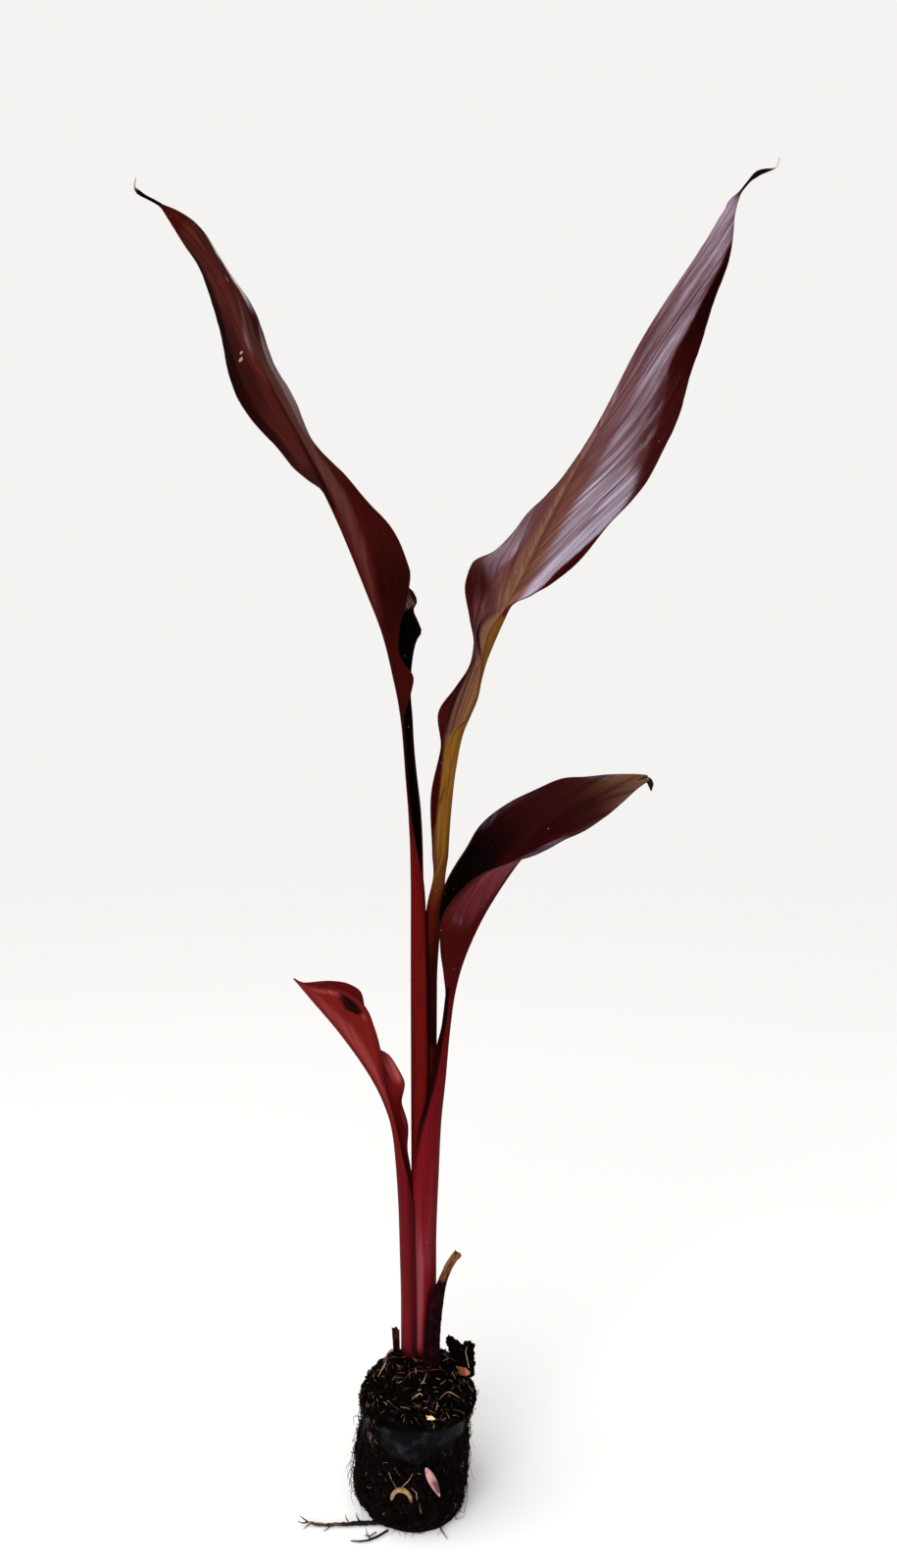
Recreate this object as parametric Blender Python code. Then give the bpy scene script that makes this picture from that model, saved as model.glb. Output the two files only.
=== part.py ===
"""Young canna lily with dark burgundy leaves, standing upright on its root ball.

The plant is one upright shoot. Four leaves leave it left and right in turn, and each is one long organ: a
sheath that wraps the younger ones inside it, a channelled stalk, and a blade folded along its midrib. One rule
makes all of them. A keel line runs up the back of the leaf, and on either side of it a half of the leaf spreads
out, near the viewer and far from the viewer, with a width, a spread and a wall that change along the keel.

Sizes here are millimetres, turned into metres where the meshes are made. X runs to the right, Y away from the
front, Z up, and the origin is the middle of the root ball's flat underside.
"""

import math
import random

import bmesh
import bpy
import numpy as np

MM = 0.001

# Root ball: a plug of peat and roots, pushed out of its tray cell
BALL_HEIGHT = 53.5
BALL_SIDE = [(0.0, 20.4), (2.5, 21.8), (9.0, 23.6), (22.0, 24.9), (34.0, 24.8), (42.0, 24.6), (47.0, 26.0),
             (52.5, 27.3)]
BALL_LEAN = [(0.0, 0.0), (25.0, -1.0), (45.0, -0.2), (52.5, 1.0)]
BALL_LUMP = 0.55
BALL_SIDES = 28

# Crown: the mound of peat that the shoot stands in, with a level top
CROWN_HEIGHT = 64.0
CROWN_RADIUS = 12.5
CROWN_CENTRE = (1.8, 4.6)
CROWN_RINGS = 3

SEAT_GAP = 0.3
FOOT = CROWN_HEIGHT + SEAT_GAP

# Where each sheath ends and its own stalk and blade go on, measured along the keel
LOWEST_FREE = 92.0
RIGHT_FREE = 158.0
LEFT_TOP_FREE = 232.0
RIGHT_TOP_FREE = 224.0

SHEATH_STEP = 13.0
BLADE_STEP = 6.0
HALF_FACETS = 4

# The lowest leaf: bright crimson, short, to the left
LOWEST_LEAF = {
    "opens": 1,
    "keel": [(-7.3, 8, FOOT), (-7.3, 8, 91), (-7.8, 7.6, 118), (-8.3, 6.9, 138), (-10.1, 4.5, 167.5),
             (-11.6, 3.5, 178.5), (-14.6, 2.5, 188.8), (-19.4, 1.3, 199.7), (-32.7, -2.3, 221.3),
             (-54.1, -7.3, 249)],
    "twist": [(0, 0), (85, 0), (110, 8), (150, 18), (198, 25)],
    "front_width": [(0, 11.2), (70, 11), (88, 8.5), (100, 5), (110, 3.6), (120, 3.2), (130, 4), (140, 7.6),
                    (150, 11.8), (158, 14.6), (168, 17), (184, 12.6), (193, 5.5), (198, 1)],
    "front_spread": [(0, 90, 0), (85, 90, -20), (106, 60, 10), (130, 30, 10), (150, 22, 10), (185, 22, 14),
                     (198, 80, 80)],
    "rear_width": [(0, 10.2), (85, 10.2), (100, 8.4), (112, 10.4), (120, 10), (131, 14.6), (141, 14.2),
                   (149, 11), (156, 11.5), (164, 17), (172, 21.2), (178, 19.2), (184, 14.6), (192, 6.2),
                   (198, 1)],
    "rear_spread": [(0, 90, 0), (85, 90, -10), (106, 60, 0), (118, 45, 20), (131, 38, -30), (150, 30, 0),
                    (185, 22, 6), (198, 80, 80)],
    "back": [(0, 3.2), (70, 2.8), (100, 2.4), (140, 1.7), (198, 1.0)],
    "edge": [(0, 1.0), (90, 1.1), (198, 1.1)],
}

# The second leaf: reddish purple boat to the right
RIGHT_LEAF = {
    "opens": -1,
    "keel": [(9.3, 8, FOOT), (9.3, 8, 117), (10.7, 8, 158), (11.6, 7.6, 177), (13.8, 6.2, 199.6),
             (15.2, 4.7, 216.5), (17.2, 3.2, 235), (20.1, 2.1, 249), (27.6, -0.9, 270), (39.3, -4.2, 291.3),
             (52.5, -9, 310), (65.4, -12, 321.5), (80.1, -14.8, 329.8), (101.6, -17.5, 339.3)],
    "twist": [(0, 0), (150, 0), (170, -12), (200, -10), (232, -12), (258, -40), (285, -50), (316, -50)],
    "front_width": [(0, 14), (50, 14), (94, 16.9), (113, 15), (126, 12.5), (137, 10.7), (150, 8), (162, 5.8),
                    (174, 5.6), (184, 8.5), (196, 14), (208, 18.5), (222, 20), (240, 18.5), (250, 17),
                    (260, 14), (270, 12), (280, 11.5), (290, 9.5), (300, 6), (310, 2), (316, 0.8)],
    "front_spread": [(0, 90, -39), (50, 90, -39), (94, 90, -48), (113, 90, -26), (126, 90, -10),
                     (137, 90, -12), (160, 60, -20), (180, 20, -5), (205, 15, -5), (222, 28, 15),
                     (240, 38, 42), (250, 42, 50), (260, 54, 66), (270, 66, 86), (280, 76, 100),
                     (316, 78, 100)],
    "rear_width": [(0, 12.6), (50, 12.6), (94, 16), (104, 13.5), (113, 11.5), (126, 8.5), (137, 5.5),
                   (150, 4.5), (174, 4.5), (186, 9), (198, 15), (210, 21), (222, 24), (240, 25.5),
                   (260, 21.5), (270, 18.7), (280, 16.8), (290, 12.2), (300, 8.6), (310, 4.3), (316, 0.8)],
    "rear_spread": [(0, 90, -27), (50, 90, -27), (94, 90, -42), (104, 90, -20), (113, 90, -2), (126, 90, 20),
                    (137, 85, 30), (150, 75, 10), (180, 28, 10), (205, 30, 15), (240, 55, 35), (285, 85, 70),
                    (316, 85, 70)],
    "back": [(0, 1.7), (120, 1.8), (160, 2.2), (200, 2.0), (260, 1.8), (316, 1.2)],
    "edge": [(0, 0.8), (94, 0.7), (113, 0.7), (150, 0.9), (190, 1.7), (270, 1.7), (316, 1.4)],
}

# The third leaf: long and nearly black, seen from below, to the upper left
LEFT_TOP_LEAF = {
    "opens": 1,
    "keel": [(-2.1, 8, FOOT), (-2.1, 8, 115), (-2.3, 8, 158), (-2.4, 8, 245), (-2.2, 6.6, 300),
             (-2.6, 5.5, 323), (-3.8, 5, 340), (-5.6, 3.2, 362), (-10.2, 1.4, 385), (-14.4, 0, 402.6),
             (-21.5, -2, 422), (-36.4, -6, 459), (-48.8, -8, 483.7), (-60.6, -9.7, 505), (-71.8, -11.5, 527.3),
             (-77.9, -13.2, 545), (-86.1, -14.7, 560), (-96, -16, 573), (-105.9, -16.8, 580.2),
             (-116.2, -17.6, 587.4), (-115.4, -18, 590.6)],
    "twist": [(0, 0), (215, 0), (240, -15), (270, -45), (300, -40), (316, -10), (345, 5), (370, 28),
              (400, 64), (428, 93), (452, 101), (496, 94), (558, 90)],
    "front_width": [(0, 9.8), (55, 9.8), (94, 11), (140, 12.2), (182, 12.2), (208, 10.2), (226, 9), (240, 6),
                    (258, 3.8), (276, 2.8), (300, 3), (309, 7), (319, 9.5), (330, 6.5), (340, 10), (350, 17),
                    (362, 22), (385, 21.5), (430, 20), (456, 21.8), (472, 21.5), (488, 17), (504, 12),
                    (520, 10.5), (532, 7), (544, 2.2), (558, 0.9)],
    "front_spread": [(0, 90, -30), (140, 90, -25), (182, 90, -25), (208, 90, -32), (226, 90, -50),
                     (240, 90, -30), (276, 80, 0), (305, 50, 0), (335, 34, 20), (370, 32, 22), (400, 20, 10),
                     (428, 24, 14), (452, 32, 22), (515, 28, 22), (532, 50, 40), (544, 90, 80),
                     (558, 90, 90)],
    "rear_width": [(0, 9.8), (55, 9.8), (94, 10.4), (113, 10.6), (140, 12.2), (182, 12.2), (208, 10.2),
                   (226, 8.2), (260, 6.8), (290, 5), (306, 6), (318, 9), (328, 13.5), (340, 19.5), (354, 23),
                   (400, 23), (430, 22), (456, 24), (472, 24.5), (488, 21), (504, 15.5), (520, 12), (532, 7),
                   (544, 2), (558, 0.9)],
    "rear_spread": [(0, 90, -30), (140, 90, -25), (182, 90, -25), (208, 90, -32), (226, 90, -55),
                    (260, 90, -40), (300, 70, 0), (320, 40, 10), (370, 32, 18), (400, 20, 10), (428, 24, 12),
                    (452, 32, 18), (515, 28, 20), (532, 50, 40), (544, 90, 80), (558, 90, 90)],
    "back": [(0, 2.2), (182, 2.4), (232, 2.0), (300, 2.2), (370, 3.0), (480, 2.9), (530, 2.2), (558, 1.4)],
    "edge": [(0, 0.6), (94, 0.6), (113, 0.5), (140, 0.6), (230, 1.0), (300, 1.4), (345, 2.8), (480, 2.8),
             (530, 2.2), (558, 1.4)],
}

# The youngest leaf: golden stalk and midrib, broad sheeny blade, to the upper right
RIGHT_TOP_LEAF = {
    "opens": -1,
    "keel": [(7.1, 8, FOOT), (7.1, 8, 117), (8.6, 8, 158), (9.5, 8, 200), (9.8, 8, 245), (11.6, 8, 272),
             (13.4, 8, 290.4), (14.8, 8, 316.5), (18.8, 8, 349.6), (21.9, 8, 362.9), (31.2, 8, 389.9),
             (42.1, 8, 415.8), (51.4, 9.5, 437), (64.7, 11.4, 463.4), (85.9, 14, 500.5), (104.6, 17, 536.4),
             (131.3, 20.5, 577.8), (147.4, 22.7, 603.2), (155.4, 23.4, 611.4), (163.4, 23.7, 614),
             (164.8, 24, 618.2)],
    "twist": [(0, 0), (226, 0), (240, -40), (320, -45), (348, -55), (365, -75), (380, -88), (598, -92)],
    "front_width": [(0, 5), (226, 7), (248, 7.5), (262, 6.5), (274, 5), (286, 7.5), (298, 9), (312, 8.5),
                    (326, 8), (340, 9), (354, 6.5), (364, 9), (372, 13.5), (386, 20.2), (400, 24),
                    (428, 30.5), (446, 33), (470, 31.4), (484, 29.5), (512, 22), (540, 13.7), (554, 7.8),
                    (563, 3.5), (572, 1.2), (584, 2.2), (590, 1.4), (598, 0.9)],
    "front_spread": [(0, 90, -40), (226, 90, -40), (262, 90, -45), (286, 90, -70), (294, 85, -50),
                     (302, 85, 20), (312, 90, 40), (322, 75, 20), (332, 52, -10), (342, 48, -30),
                     (354, 50, 0), (364, 80, 75), (378, 88, 112), (430, 84, 128), (500, 84, 132),
                     (560, 88, 120), (598, 90, 90)],
    "rear_width": [(0, 5), (226, 7), (240, 7.5), (266, 10), (286, 8.5), (301, 13.5), (313, 9.5), (325, 7),
                   (334, 8.5), (344, 14.5), (358, 22.5), (372, 23.5), (386, 25.5), (409, 28), (454, 30),
                   (492, 25), (518, 18), (542, 10), (558, 5), (572, 1.2), (584, 2.0), (590, 1.4),
                   (598, 0.9)],
    "rear_spread": [(0, 90, -40), (226, 90, -40), (240, 90, 0), (266, 80, 0), (301, 80, 5), (320, 80, 0),
                    (342, 80, 20), (355, 68, 40), (366, 92, 76), (380, 132, 146), (409, 156, 174),
                    (432, 170, 188), (454, 178, 198), (520, 180, 204), (560, 184, 206), (572, 90, 90),
                    (598, 90, 90)],
    "back": [(0, 2.5), (226, 3.0), (348, 3.0), (380, 2.9), (492, 2.8), (558, 2.2), (598, 1.4)],
    "edge": [(0, 2.0), (226, 1.6), (340, 1.8), (380, 2.8), (492, 2.8), (558, 2.0), (598, 1.4)],
}

# The youngest leaf's stalk inside the sheaths: a plain rod against its keel, with its radius along the keel
INNER_STALK_RADII = [(0, 2.9), (52, 2.9), (94, 3.6), (136, 4.2), (180, 4.2), (208, 3.7), (224, 3.6)]
INNER_STALK_SIDES = 12

# Dead stalk: the dried stump of an older shoot, front right of the living one
DEAD_STALK = [(7.2, -1.4, FOOT), (7.4, -1.4, 76), (8.4, -1.4, 87), (10.6, -1.4, 101), (14.8, -1.2, 113),
              (18.6, -1.0, 120)]
DEAD_STALK_RADII = [(0.0, 3.9, 2.5), (0.35, 3.3, 2.3), (0.62, 2.9, 2.0), (0.82, 1.7, 1.3), (1.0, 1.9, 1.2)]

# Dry scale: a papery bract left at the foot of the shoot
SCALE_FOOT = (-8.8, 6.0)
SCALE_TOP = (-9.6, 6.2)
SCALE_HEIGHT = 15.3
SCALE_WIDTH = (2.6, 3.8)
SCALE_THICKNESS = 1.0
SCALE_TURN = math.radians(-25)

# Lump of peat standing on the crown's right rear slope
LUMP_CENTRE = (21.6, 9.5)
LUMP_RADII = (5.6, 3.6)
LUMP_TOP = 72.0

# Roots: a thick strand lying out over the ground to the left, an arched root and a pink side shoot in front
STRAY_ROOT = [(-14.3, -17.2, 1.25), (-24.0, -15.8, 1.1), (-33.0, -16.5, 1.2), (-42.0, -16.6, 1.0),
              (-49.2, -15.2, 1.1)]
STRAY_ROOT_RADIUS = 0.9
ARCH_WIDTH = 8.6
ARCH_RADIUS = 1.1
ARCH_CENTRE = (-5.8, 19.4)
SHOOT_BUD_LENGTH = 16.0
SHOOT_BUD_RADII = (2.4, 1.5)
SHOOT_BUD_TOP = (5.4, 34.4)
SHOOT_BUD_SLANT = math.radians(21)

# Plain finishes: colour, roughness
FINISHES = {
    "leaf": ((0.060, 0.012, 0.016), 0.38),
    "crimson leaf": ((0.230, 0.014, 0.018), 0.42),
    "sheath": ((0.190, 0.010, 0.022), 0.40),
    "golden stalk": ((0.200, 0.085, 0.012), 0.40),
    "peat": ((0.010, 0.008, 0.007), 0.85),
    "dry skin": ((0.080, 0.030, 0.016), 0.75),
    "root": ((0.200, 0.090, 0.035), 0.70),
    "pink shoot": ((0.420, 0.130, 0.160), 0.45),
}


def follow(keys, at):
    """Values at one place along a leaf, on smooth lines through the keys that never swing past them."""
    keys = np.array(keys, float)
    places, values = keys[:, 0], keys[:, 1:]
    at = min(max(at, places[0]), places[-1])
    span = np.diff(places)
    slope = np.diff(values, axis=0) / span[:, None]
    tangent = np.zeros_like(values)
    if len(places) > 2:
        before, after = slope[:-1], slope[1:]
        same_way = before * after > 0
        total = np.where(same_way, before + after, 1.0)
        tangent[1:-1] = np.where(same_way, 2 * before * after / total, 0.0)
    tangent[0], tangent[-1] = slope[0], slope[-1]
    i = min(int(np.searchsorted(places, at, side="right")) - 1, len(span) - 1)
    t = (at - places[i]) / span[i]
    rise = 3 * t**2 - 2 * t**3
    return (
        values[i] * (1 - rise)
        + values[i + 1] * rise
        + tangent[i] * span[i] * (t - 2 * t**2 + t**3)
        + tangent[i + 1] * span[i] * (t**3 - t**2)
    )


def length_keys(points):
    """The points with their distance along the line in front of each."""
    points = np.array(points, float)
    steps = np.linalg.norm(np.diff(points, axis=0), axis=1)
    return np.column_stack([np.concatenate([[0.0], np.cumsum(steps)]), points])


def frame_at(leaf, keel, at):
    """Keel point, direction that the leaf opens in, and the far side's direction, square to the keel."""
    reach = 1.5
    end = keel[-1, 0]
    point = follow(keel, at)
    ahead = follow(keel, min(at + reach, end)) - follow(keel, max(at - reach, 0.0))
    along = ahead / np.linalg.norm(ahead)
    far = np.array([0.0, 1.0, 0.0])
    far = far - along * far.dot(along)
    far /= np.linalg.norm(far)
    opening = leaf["opens"] * np.cross(far, along)
    turn = math.radians(follow(leaf["twist"], at)[0])
    return (
        point,
        math.cos(turn) * opening + math.sin(turn) * far,
        math.cos(turn) * far - math.sin(turn) * opening,
    )


def half_outline(width, spread, back, edge, count):
    """Outer and inner curve of one half of a section, as (towards the opening, towards the margin's side)."""
    first, last = math.radians(spread[0]), math.radians(spread[1])
    fine = 8 * count
    share = np.linspace(0.0, 1.0, fine + 1)
    heading = first + (last - first) * share
    middle = (heading[1:] + heading[:-1]) / 2
    step = width / fine
    outer = np.zeros((fine + 1, 2))
    outer[1:, 0] = np.cumsum(np.cos(middle)) * step
    outer[1:, 1] = np.cumsum(np.sin(middle)) * step
    wall = edge + (back - edge) * (1 - share) ** 1.5
    if last < first:
        wall = np.minimum(wall, 0.65 * width / (first - last))
    inner = outer + np.column_stack([np.sin(heading), -np.cos(heading)]) * wall[:, None]
    clear = 0.1
    start = 0
    if spread[0] < 90:
        while start < 0.75 * fine and inner[start, 1] < clear:
            start += 1
        inner[:, 1] = np.maximum(inner[:, 1], clear)
    picks = np.round(np.linspace(start, fine, count + 1)).astype(int)
    return outer[:: fine // count], inner[picks]


def section_ring(leaf, keel, at):
    """The leaf's closed section at one place on its keel, as points round it."""
    point, opening, far = frame_at(leaf, keel, at)
    back, edge = follow(leaf["back"], at)[0], follow(leaf["edge"], at)[0]
    curves = {}
    for half, side in (("front", -1), ("rear", 1)):
        width = follow(leaf[half + "_width"], at)[0]
        spread = follow(leaf[half + "_spread"], at)
        outer, inner = half_outline(width, spread, back, edge, HALF_FACETS)
        curves[half] = [
            [point + curve[i, 0] * opening + side * curve[i, 1] * far for i in range(HALF_FACETS + 1)]
            for curve in (outer, inner)
        ]
    front_outer, front_inner = curves["front"]
    rear_outer, rear_inner = curves["rear"]
    bottom = (front_inner[0] + rear_inner[0]) / 2
    return front_outer[:0:-1] + [point] + rear_outer[1:] + rear_inner[:0:-1] + [bottom] + front_inner[1:]


def new_object(name, mesh_data, finish):
    """Makes the mesh an object of that name, with its normals outwards and its own plain material."""
    bmesh.ops.recalc_face_normals(mesh_data, faces=mesh_data.faces)
    mesh = bpy.data.meshes.new(name)
    mesh_data.to_mesh(mesh)
    mesh_data.free()
    mesh.shade_smooth()
    mesh.set_sharp_from_angle(angle=math.radians(40))
    thing = bpy.data.objects.new(name, mesh)
    bpy.context.scene.collection.objects.link(thing)
    colour, roughness = FINISHES[finish]
    material = bpy.data.materials.new(name)
    material.use_nodes = True
    shader = material.node_tree.nodes["Principled BSDF"]
    shader.inputs["Base Color"].default_value = (*colour, 1.0)
    shader.inputs["Roughness"].default_value = roughness
    material.diffuse_color = (*colour, 1.0)
    mesh.materials.append(material)
    return thing


def loft(name, rings, finish):
    """A closed solid through rings of points in millimetres, with a flat face at each end."""
    shape = bmesh.new()
    rows = [[shape.verts.new([c * MM for c in p]) for p in ring] for ring in rings]
    for below, above in zip(rows, rows[1:]):
        for i in range(len(below)):
            j = (i + 1) % len(below)
            shape.faces.new((below[i], below[j], above[j], above[i]))
    shape.faces.new(rows[0][::-1])
    shape.faces.new(rows[-1])
    return new_object(name, shape, finish)


def places(start, end, step):
    """Evenly spread places from start to end, about a step apart."""
    return np.linspace(start, end, max(2, round((end - start) / step) + 1))


def leaf_part(name, leaf, start, end, step, finish):
    keel = length_keys(leaf["keel"])
    end = keel[-1, 0] if end is None else end
    loft(name, [section_ring(leaf, keel, at) for at in places(start, end, step)], finish)


def oval_ring(centre, radii, sides, turn=0.0):
    """A level oval of points about a centre."""
    x, y, z = centre
    ring = []
    for i in range(sides):
        angle = 2 * math.pi * i / sides
        across, deep = radii[0] * math.cos(angle), radii[1] * math.sin(angle)
        ring.append(
            (
                x + across * math.cos(turn) - deep * math.sin(turn),
                y + across * math.sin(turn) + deep * math.cos(turn),
                z,
            )
        )
    return ring


def crown_height(x, y):
    """Height of the peat at a place on top of the root ball."""
    rim_x = BALL_LEAN[-1][1]
    out = math.hypot(x - CROWN_CENTRE[0], y - CROWN_CENTRE[1])
    if out <= CROWN_RADIUS:
        return CROWN_HEIGHT
    angle = math.atan2(y - CROWN_CENTRE[1], x - CROWN_CENTRE[0])
    reach = CROWN_RADIUS
    while math.hypot(CROWN_CENTRE[0] + reach * math.cos(angle) - rim_x,
                     CROWN_CENTRE[1] + reach * math.sin(angle)) < BALL_SIDE[-1][1] - 1.0:
        reach += 0.1
    share = min((out - CROWN_RADIUS) / (reach - CROWN_RADIUS), 1.0)
    return CROWN_HEIGHT + (BALL_HEIGHT - CROWN_HEIGHT) * share**1.3


def root_ball():
    dice = random.Random(7)
    waves = [(dice.randint(2, 7), dice.uniform(0, 2 * math.pi), dice.uniform(0.05, 0.14)) for _ in range(7)]
    rings = []
    for height, radius in BALL_SIDE:
        lean = follow(BALL_LEAN, height)[0]
        ring = []
        for i in range(BALL_SIDES):
            angle = 2 * math.pi * i / BALL_SIDES
            lump = sum(math.sin(n * angle + start + rate * height) for n, start, rate in waves) / 3
            out = radius + BALL_LUMP * lump * min(height / 10.0, 1.0) * (height < BALL_SIDE[-1][0])
            ring.append((lean + out * math.cos(angle), out * math.sin(angle), height))
        rings.append(ring)
    rim_x, rim_radius = BALL_LEAN[-1][1], BALL_SIDE[-1][1] - 1.0
    for step in range(CROWN_RINGS + 1):
        share = step / CROWN_RINGS
        ring = []
        for i in range(BALL_SIDES):
            angle = 2 * math.pi * i / BALL_SIDES
            outer = (rim_x + rim_radius * math.cos(angle), rim_radius * math.sin(angle))
            inner = (
                CROWN_CENTRE[0] + CROWN_RADIUS * math.cos(angle),
                CROWN_CENTRE[1] + CROWN_RADIUS * math.sin(angle),
            )
            x = outer[0] * (1 - share) + inner[0] * share
            y = outer[1] * (1 - share) + inner[1] * share
            ring.append((x, y, BALL_HEIGHT + (CROWN_HEIGHT - BALL_HEIGHT) * (1 - (1 - share) ** 1.3)))
        rings.append(ring)
    loft("root_ball", rings, "peat")


def peat_lump():
    dice = random.Random(11)
    sides = 9
    bottoms = []
    shares = (0.0, 0.35, 0.7, 1.0)
    rings = []
    for share in shares:
        ring = []
        for i, (x, y, _) in enumerate(oval_ring((*LUMP_CENTRE, 0), LUMP_RADII, sides, 0.35)):
            pull = 1.0 - 0.12 * share + dice.uniform(-0.1, 0.1)
            x = LUMP_CENTRE[0] + (x - LUMP_CENTRE[0]) * pull
            y = LUMP_CENTRE[1] + (y - LUMP_CENTRE[1]) * pull
            if share == 0:
                bottoms.append(crown_height(x, y) + SEAT_GAP + 0.2)
            top = LUMP_TOP + dice.uniform(-2.2, 1.4) - 0.35 * (x - LUMP_CENTRE[0])
            ring.append((x, y, bottoms[i] + (top - bottoms[i]) * share))
        rings.append(ring)
    loft("peat_lump", rings, "peat")


def inner_stalk():
    keel = length_keys(RIGHT_TOP_LEAF["keel"])
    rings = []
    for at in places(0, RIGHT_TOP_FREE, SHEATH_STEP):
        point, opening, far = frame_at(RIGHT_TOP_LEAF, keel, at)
        radius = follow(INNER_STALK_RADII, at)[0]
        turns = np.linspace(0, 2 * math.pi, INNER_STALK_SIDES, endpoint=False)
        rings.append([point + radius * ((1 - math.cos(a)) * opening + math.sin(a) * far) for a in turns])
    loft("inner_stalk", rings, "sheath")


def dead_stalk():
    line = length_keys(DEAD_STALK)
    rings = []
    for at in places(0, line[-1, 0], 5.0):
        across, deep = follow(DEAD_STALK_RADII, at / line[-1, 0])
        rings.append(oval_ring(follow(line, at), (across, deep), 8))
    loft("dead_stalk", rings, "dry skin")


def bud_scale():
    rings = []
    for share in (0.0, 0.5, 1.0):
        x = SCALE_FOOT[0] + (SCALE_TOP[0] - SCALE_FOOT[0]) * share
        y = SCALE_FOOT[1] + (SCALE_TOP[1] - SCALE_FOOT[1]) * share
        width = SCALE_WIDTH[0] + (SCALE_WIDTH[1] - SCALE_WIDTH[0]) * share
        centre = (x, y, FOOT + SCALE_HEIGHT * share)
        rings.append(oval_ring(centre, (width / 2, SCALE_THICKNESS / 2), 8, SCALE_TURN))
    loft("bud_scale", rings, "dry skin")


def tube(name, points, radius, finish):
    """A closed round tube along points in millimetres."""
    curve = bpy.data.curves.new(name, "CURVE")
    curve.dimensions = "3D"
    curve.bevel_depth = radius * MM
    curve.bevel_resolution = 2
    curve.use_fill_caps = True
    line = curve.splines.new("POLY")
    line.points.add(len(points) - 1)
    for point, place in zip(line.points, points):
        point.co = (*[c * MM for c in place], 1.0)
    thing = bpy.data.objects.new(name, curve)
    bpy.context.scene.collection.objects.link(thing)
    colour, roughness = FINISHES[finish]
    material = bpy.data.materials.new(name)
    material.use_nodes = True
    shader = material.node_tree.nodes["Principled BSDF"]
    shader.inputs["Base Color"].default_value = (*colour, 1.0)
    shader.inputs["Roughness"].default_value = roughness
    curve.materials.append(material)


def ball_front(x, height, clear):
    """Y of a point that far in front of the root ball's side."""
    lean = follow(BALL_LEAN, height)[0]
    radius = follow(BALL_SIDE, height)[0] + clear
    return -math.sqrt(radius**2 - (x - lean) ** 2)


def stray_root():
    line = length_keys(STRAY_ROOT)
    tube("stray_root", [follow(line, at) for at in places(0, line[-1, 0], 3.0)], STRAY_ROOT_RADIUS, "root")


def arched_root():
    points = []
    for i in range(9):
        angle = math.pi * i / 8
        x = ARCH_CENTRE[0] + ARCH_WIDTH / 2 * math.cos(angle)
        height = ARCH_CENTRE[1] + 5.0 * math.sin(angle)
        points.append((x, ball_front(x, height, ARCH_RADIUS + BALL_LUMP + SEAT_GAP), height))
    tube("arched_root", points, ARCH_RADIUS, "root")


def side_shoot():
    rings = []
    for share in (0.0, 0.12, 0.4, 0.7, 0.9, 1.0):
        fullness = max(0.12, math.sin(math.pi * (0.06 + 0.88 * (1 - share)) ** 0.8))
        x = SHOOT_BUD_TOP[0] + math.sin(SHOOT_BUD_SLANT) * SHOOT_BUD_LENGTH * (1 - share)
        height = SHOOT_BUD_TOP[1] - math.cos(SHOOT_BUD_SLANT) * SHOOT_BUD_LENGTH * (1 - share)
        y = ball_front(x, height, SHOOT_BUD_RADII[1] + BALL_LUMP + SEAT_GAP)
        radii = (SHOOT_BUD_RADII[0] * fullness, SHOOT_BUD_RADII[1] * fullness)
        rings.append(oval_ring((x, y, height), radii, 8))
    loft("side_shoot", rings, "pink shoot")


def clear_scene():
    for thing in list(bpy.data.objects):
        bpy.data.objects.remove(thing, do_unlink=True)


def main():
    clear_scene()
    root_ball()
    peat_lump()
    leaf_part("outer_sheath", LOWEST_LEAF, 0, LOWEST_FREE, SHEATH_STEP, "sheath")
    leaf_part("middle_sheath", RIGHT_LEAF, 0, RIGHT_FREE, SHEATH_STEP, "sheath")
    leaf_part("tall_sheath", LEFT_TOP_LEAF, 0, LEFT_TOP_FREE, SHEATH_STEP, "sheath")
    inner_stalk()
    leaf_part("lowest_leaf", LOWEST_LEAF, LOWEST_FREE + SEAT_GAP, None, BLADE_STEP, "crimson leaf")
    leaf_part("right_leaf", RIGHT_LEAF, RIGHT_FREE + SEAT_GAP, None, BLADE_STEP, "leaf")
    leaf_part("left_top_leaf", LEFT_TOP_LEAF, LEFT_TOP_FREE + SEAT_GAP, None, BLADE_STEP, "leaf")
    leaf_part("right_top_leaf", RIGHT_TOP_LEAF, RIGHT_TOP_FREE + SEAT_GAP, None, BLADE_STEP, "golden stalk")
    dead_stalk()
    bud_scale()
    stray_root()
    arched_root()
    side_shoot()


main()
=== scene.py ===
"""Looks of the canna lily: fine leaves, sheaths, peat and roots, and the floor, light and camera around them.

Lengths in the tables are millimetres. Each leaf follows the same rule as its solid: a keel line along its
back, and on either side a half with a width, a spread and a wall that change along the keel.
"""

import math
import random

import bpy
import numpy as np
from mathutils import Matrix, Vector, noise


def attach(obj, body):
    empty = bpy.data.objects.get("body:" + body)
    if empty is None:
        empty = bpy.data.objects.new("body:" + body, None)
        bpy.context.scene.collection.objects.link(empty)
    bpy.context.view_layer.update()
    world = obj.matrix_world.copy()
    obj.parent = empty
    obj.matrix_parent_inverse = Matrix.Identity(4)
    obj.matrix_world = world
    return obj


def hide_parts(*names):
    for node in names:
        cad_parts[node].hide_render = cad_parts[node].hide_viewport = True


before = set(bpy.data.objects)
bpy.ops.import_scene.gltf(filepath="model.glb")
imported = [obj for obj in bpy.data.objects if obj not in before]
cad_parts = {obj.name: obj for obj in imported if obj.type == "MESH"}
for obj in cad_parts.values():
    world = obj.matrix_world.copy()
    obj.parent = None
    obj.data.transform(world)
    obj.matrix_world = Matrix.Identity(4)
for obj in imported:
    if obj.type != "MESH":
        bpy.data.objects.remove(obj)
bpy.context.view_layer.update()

MM = 0.001
FOOT = 64.3

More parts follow.
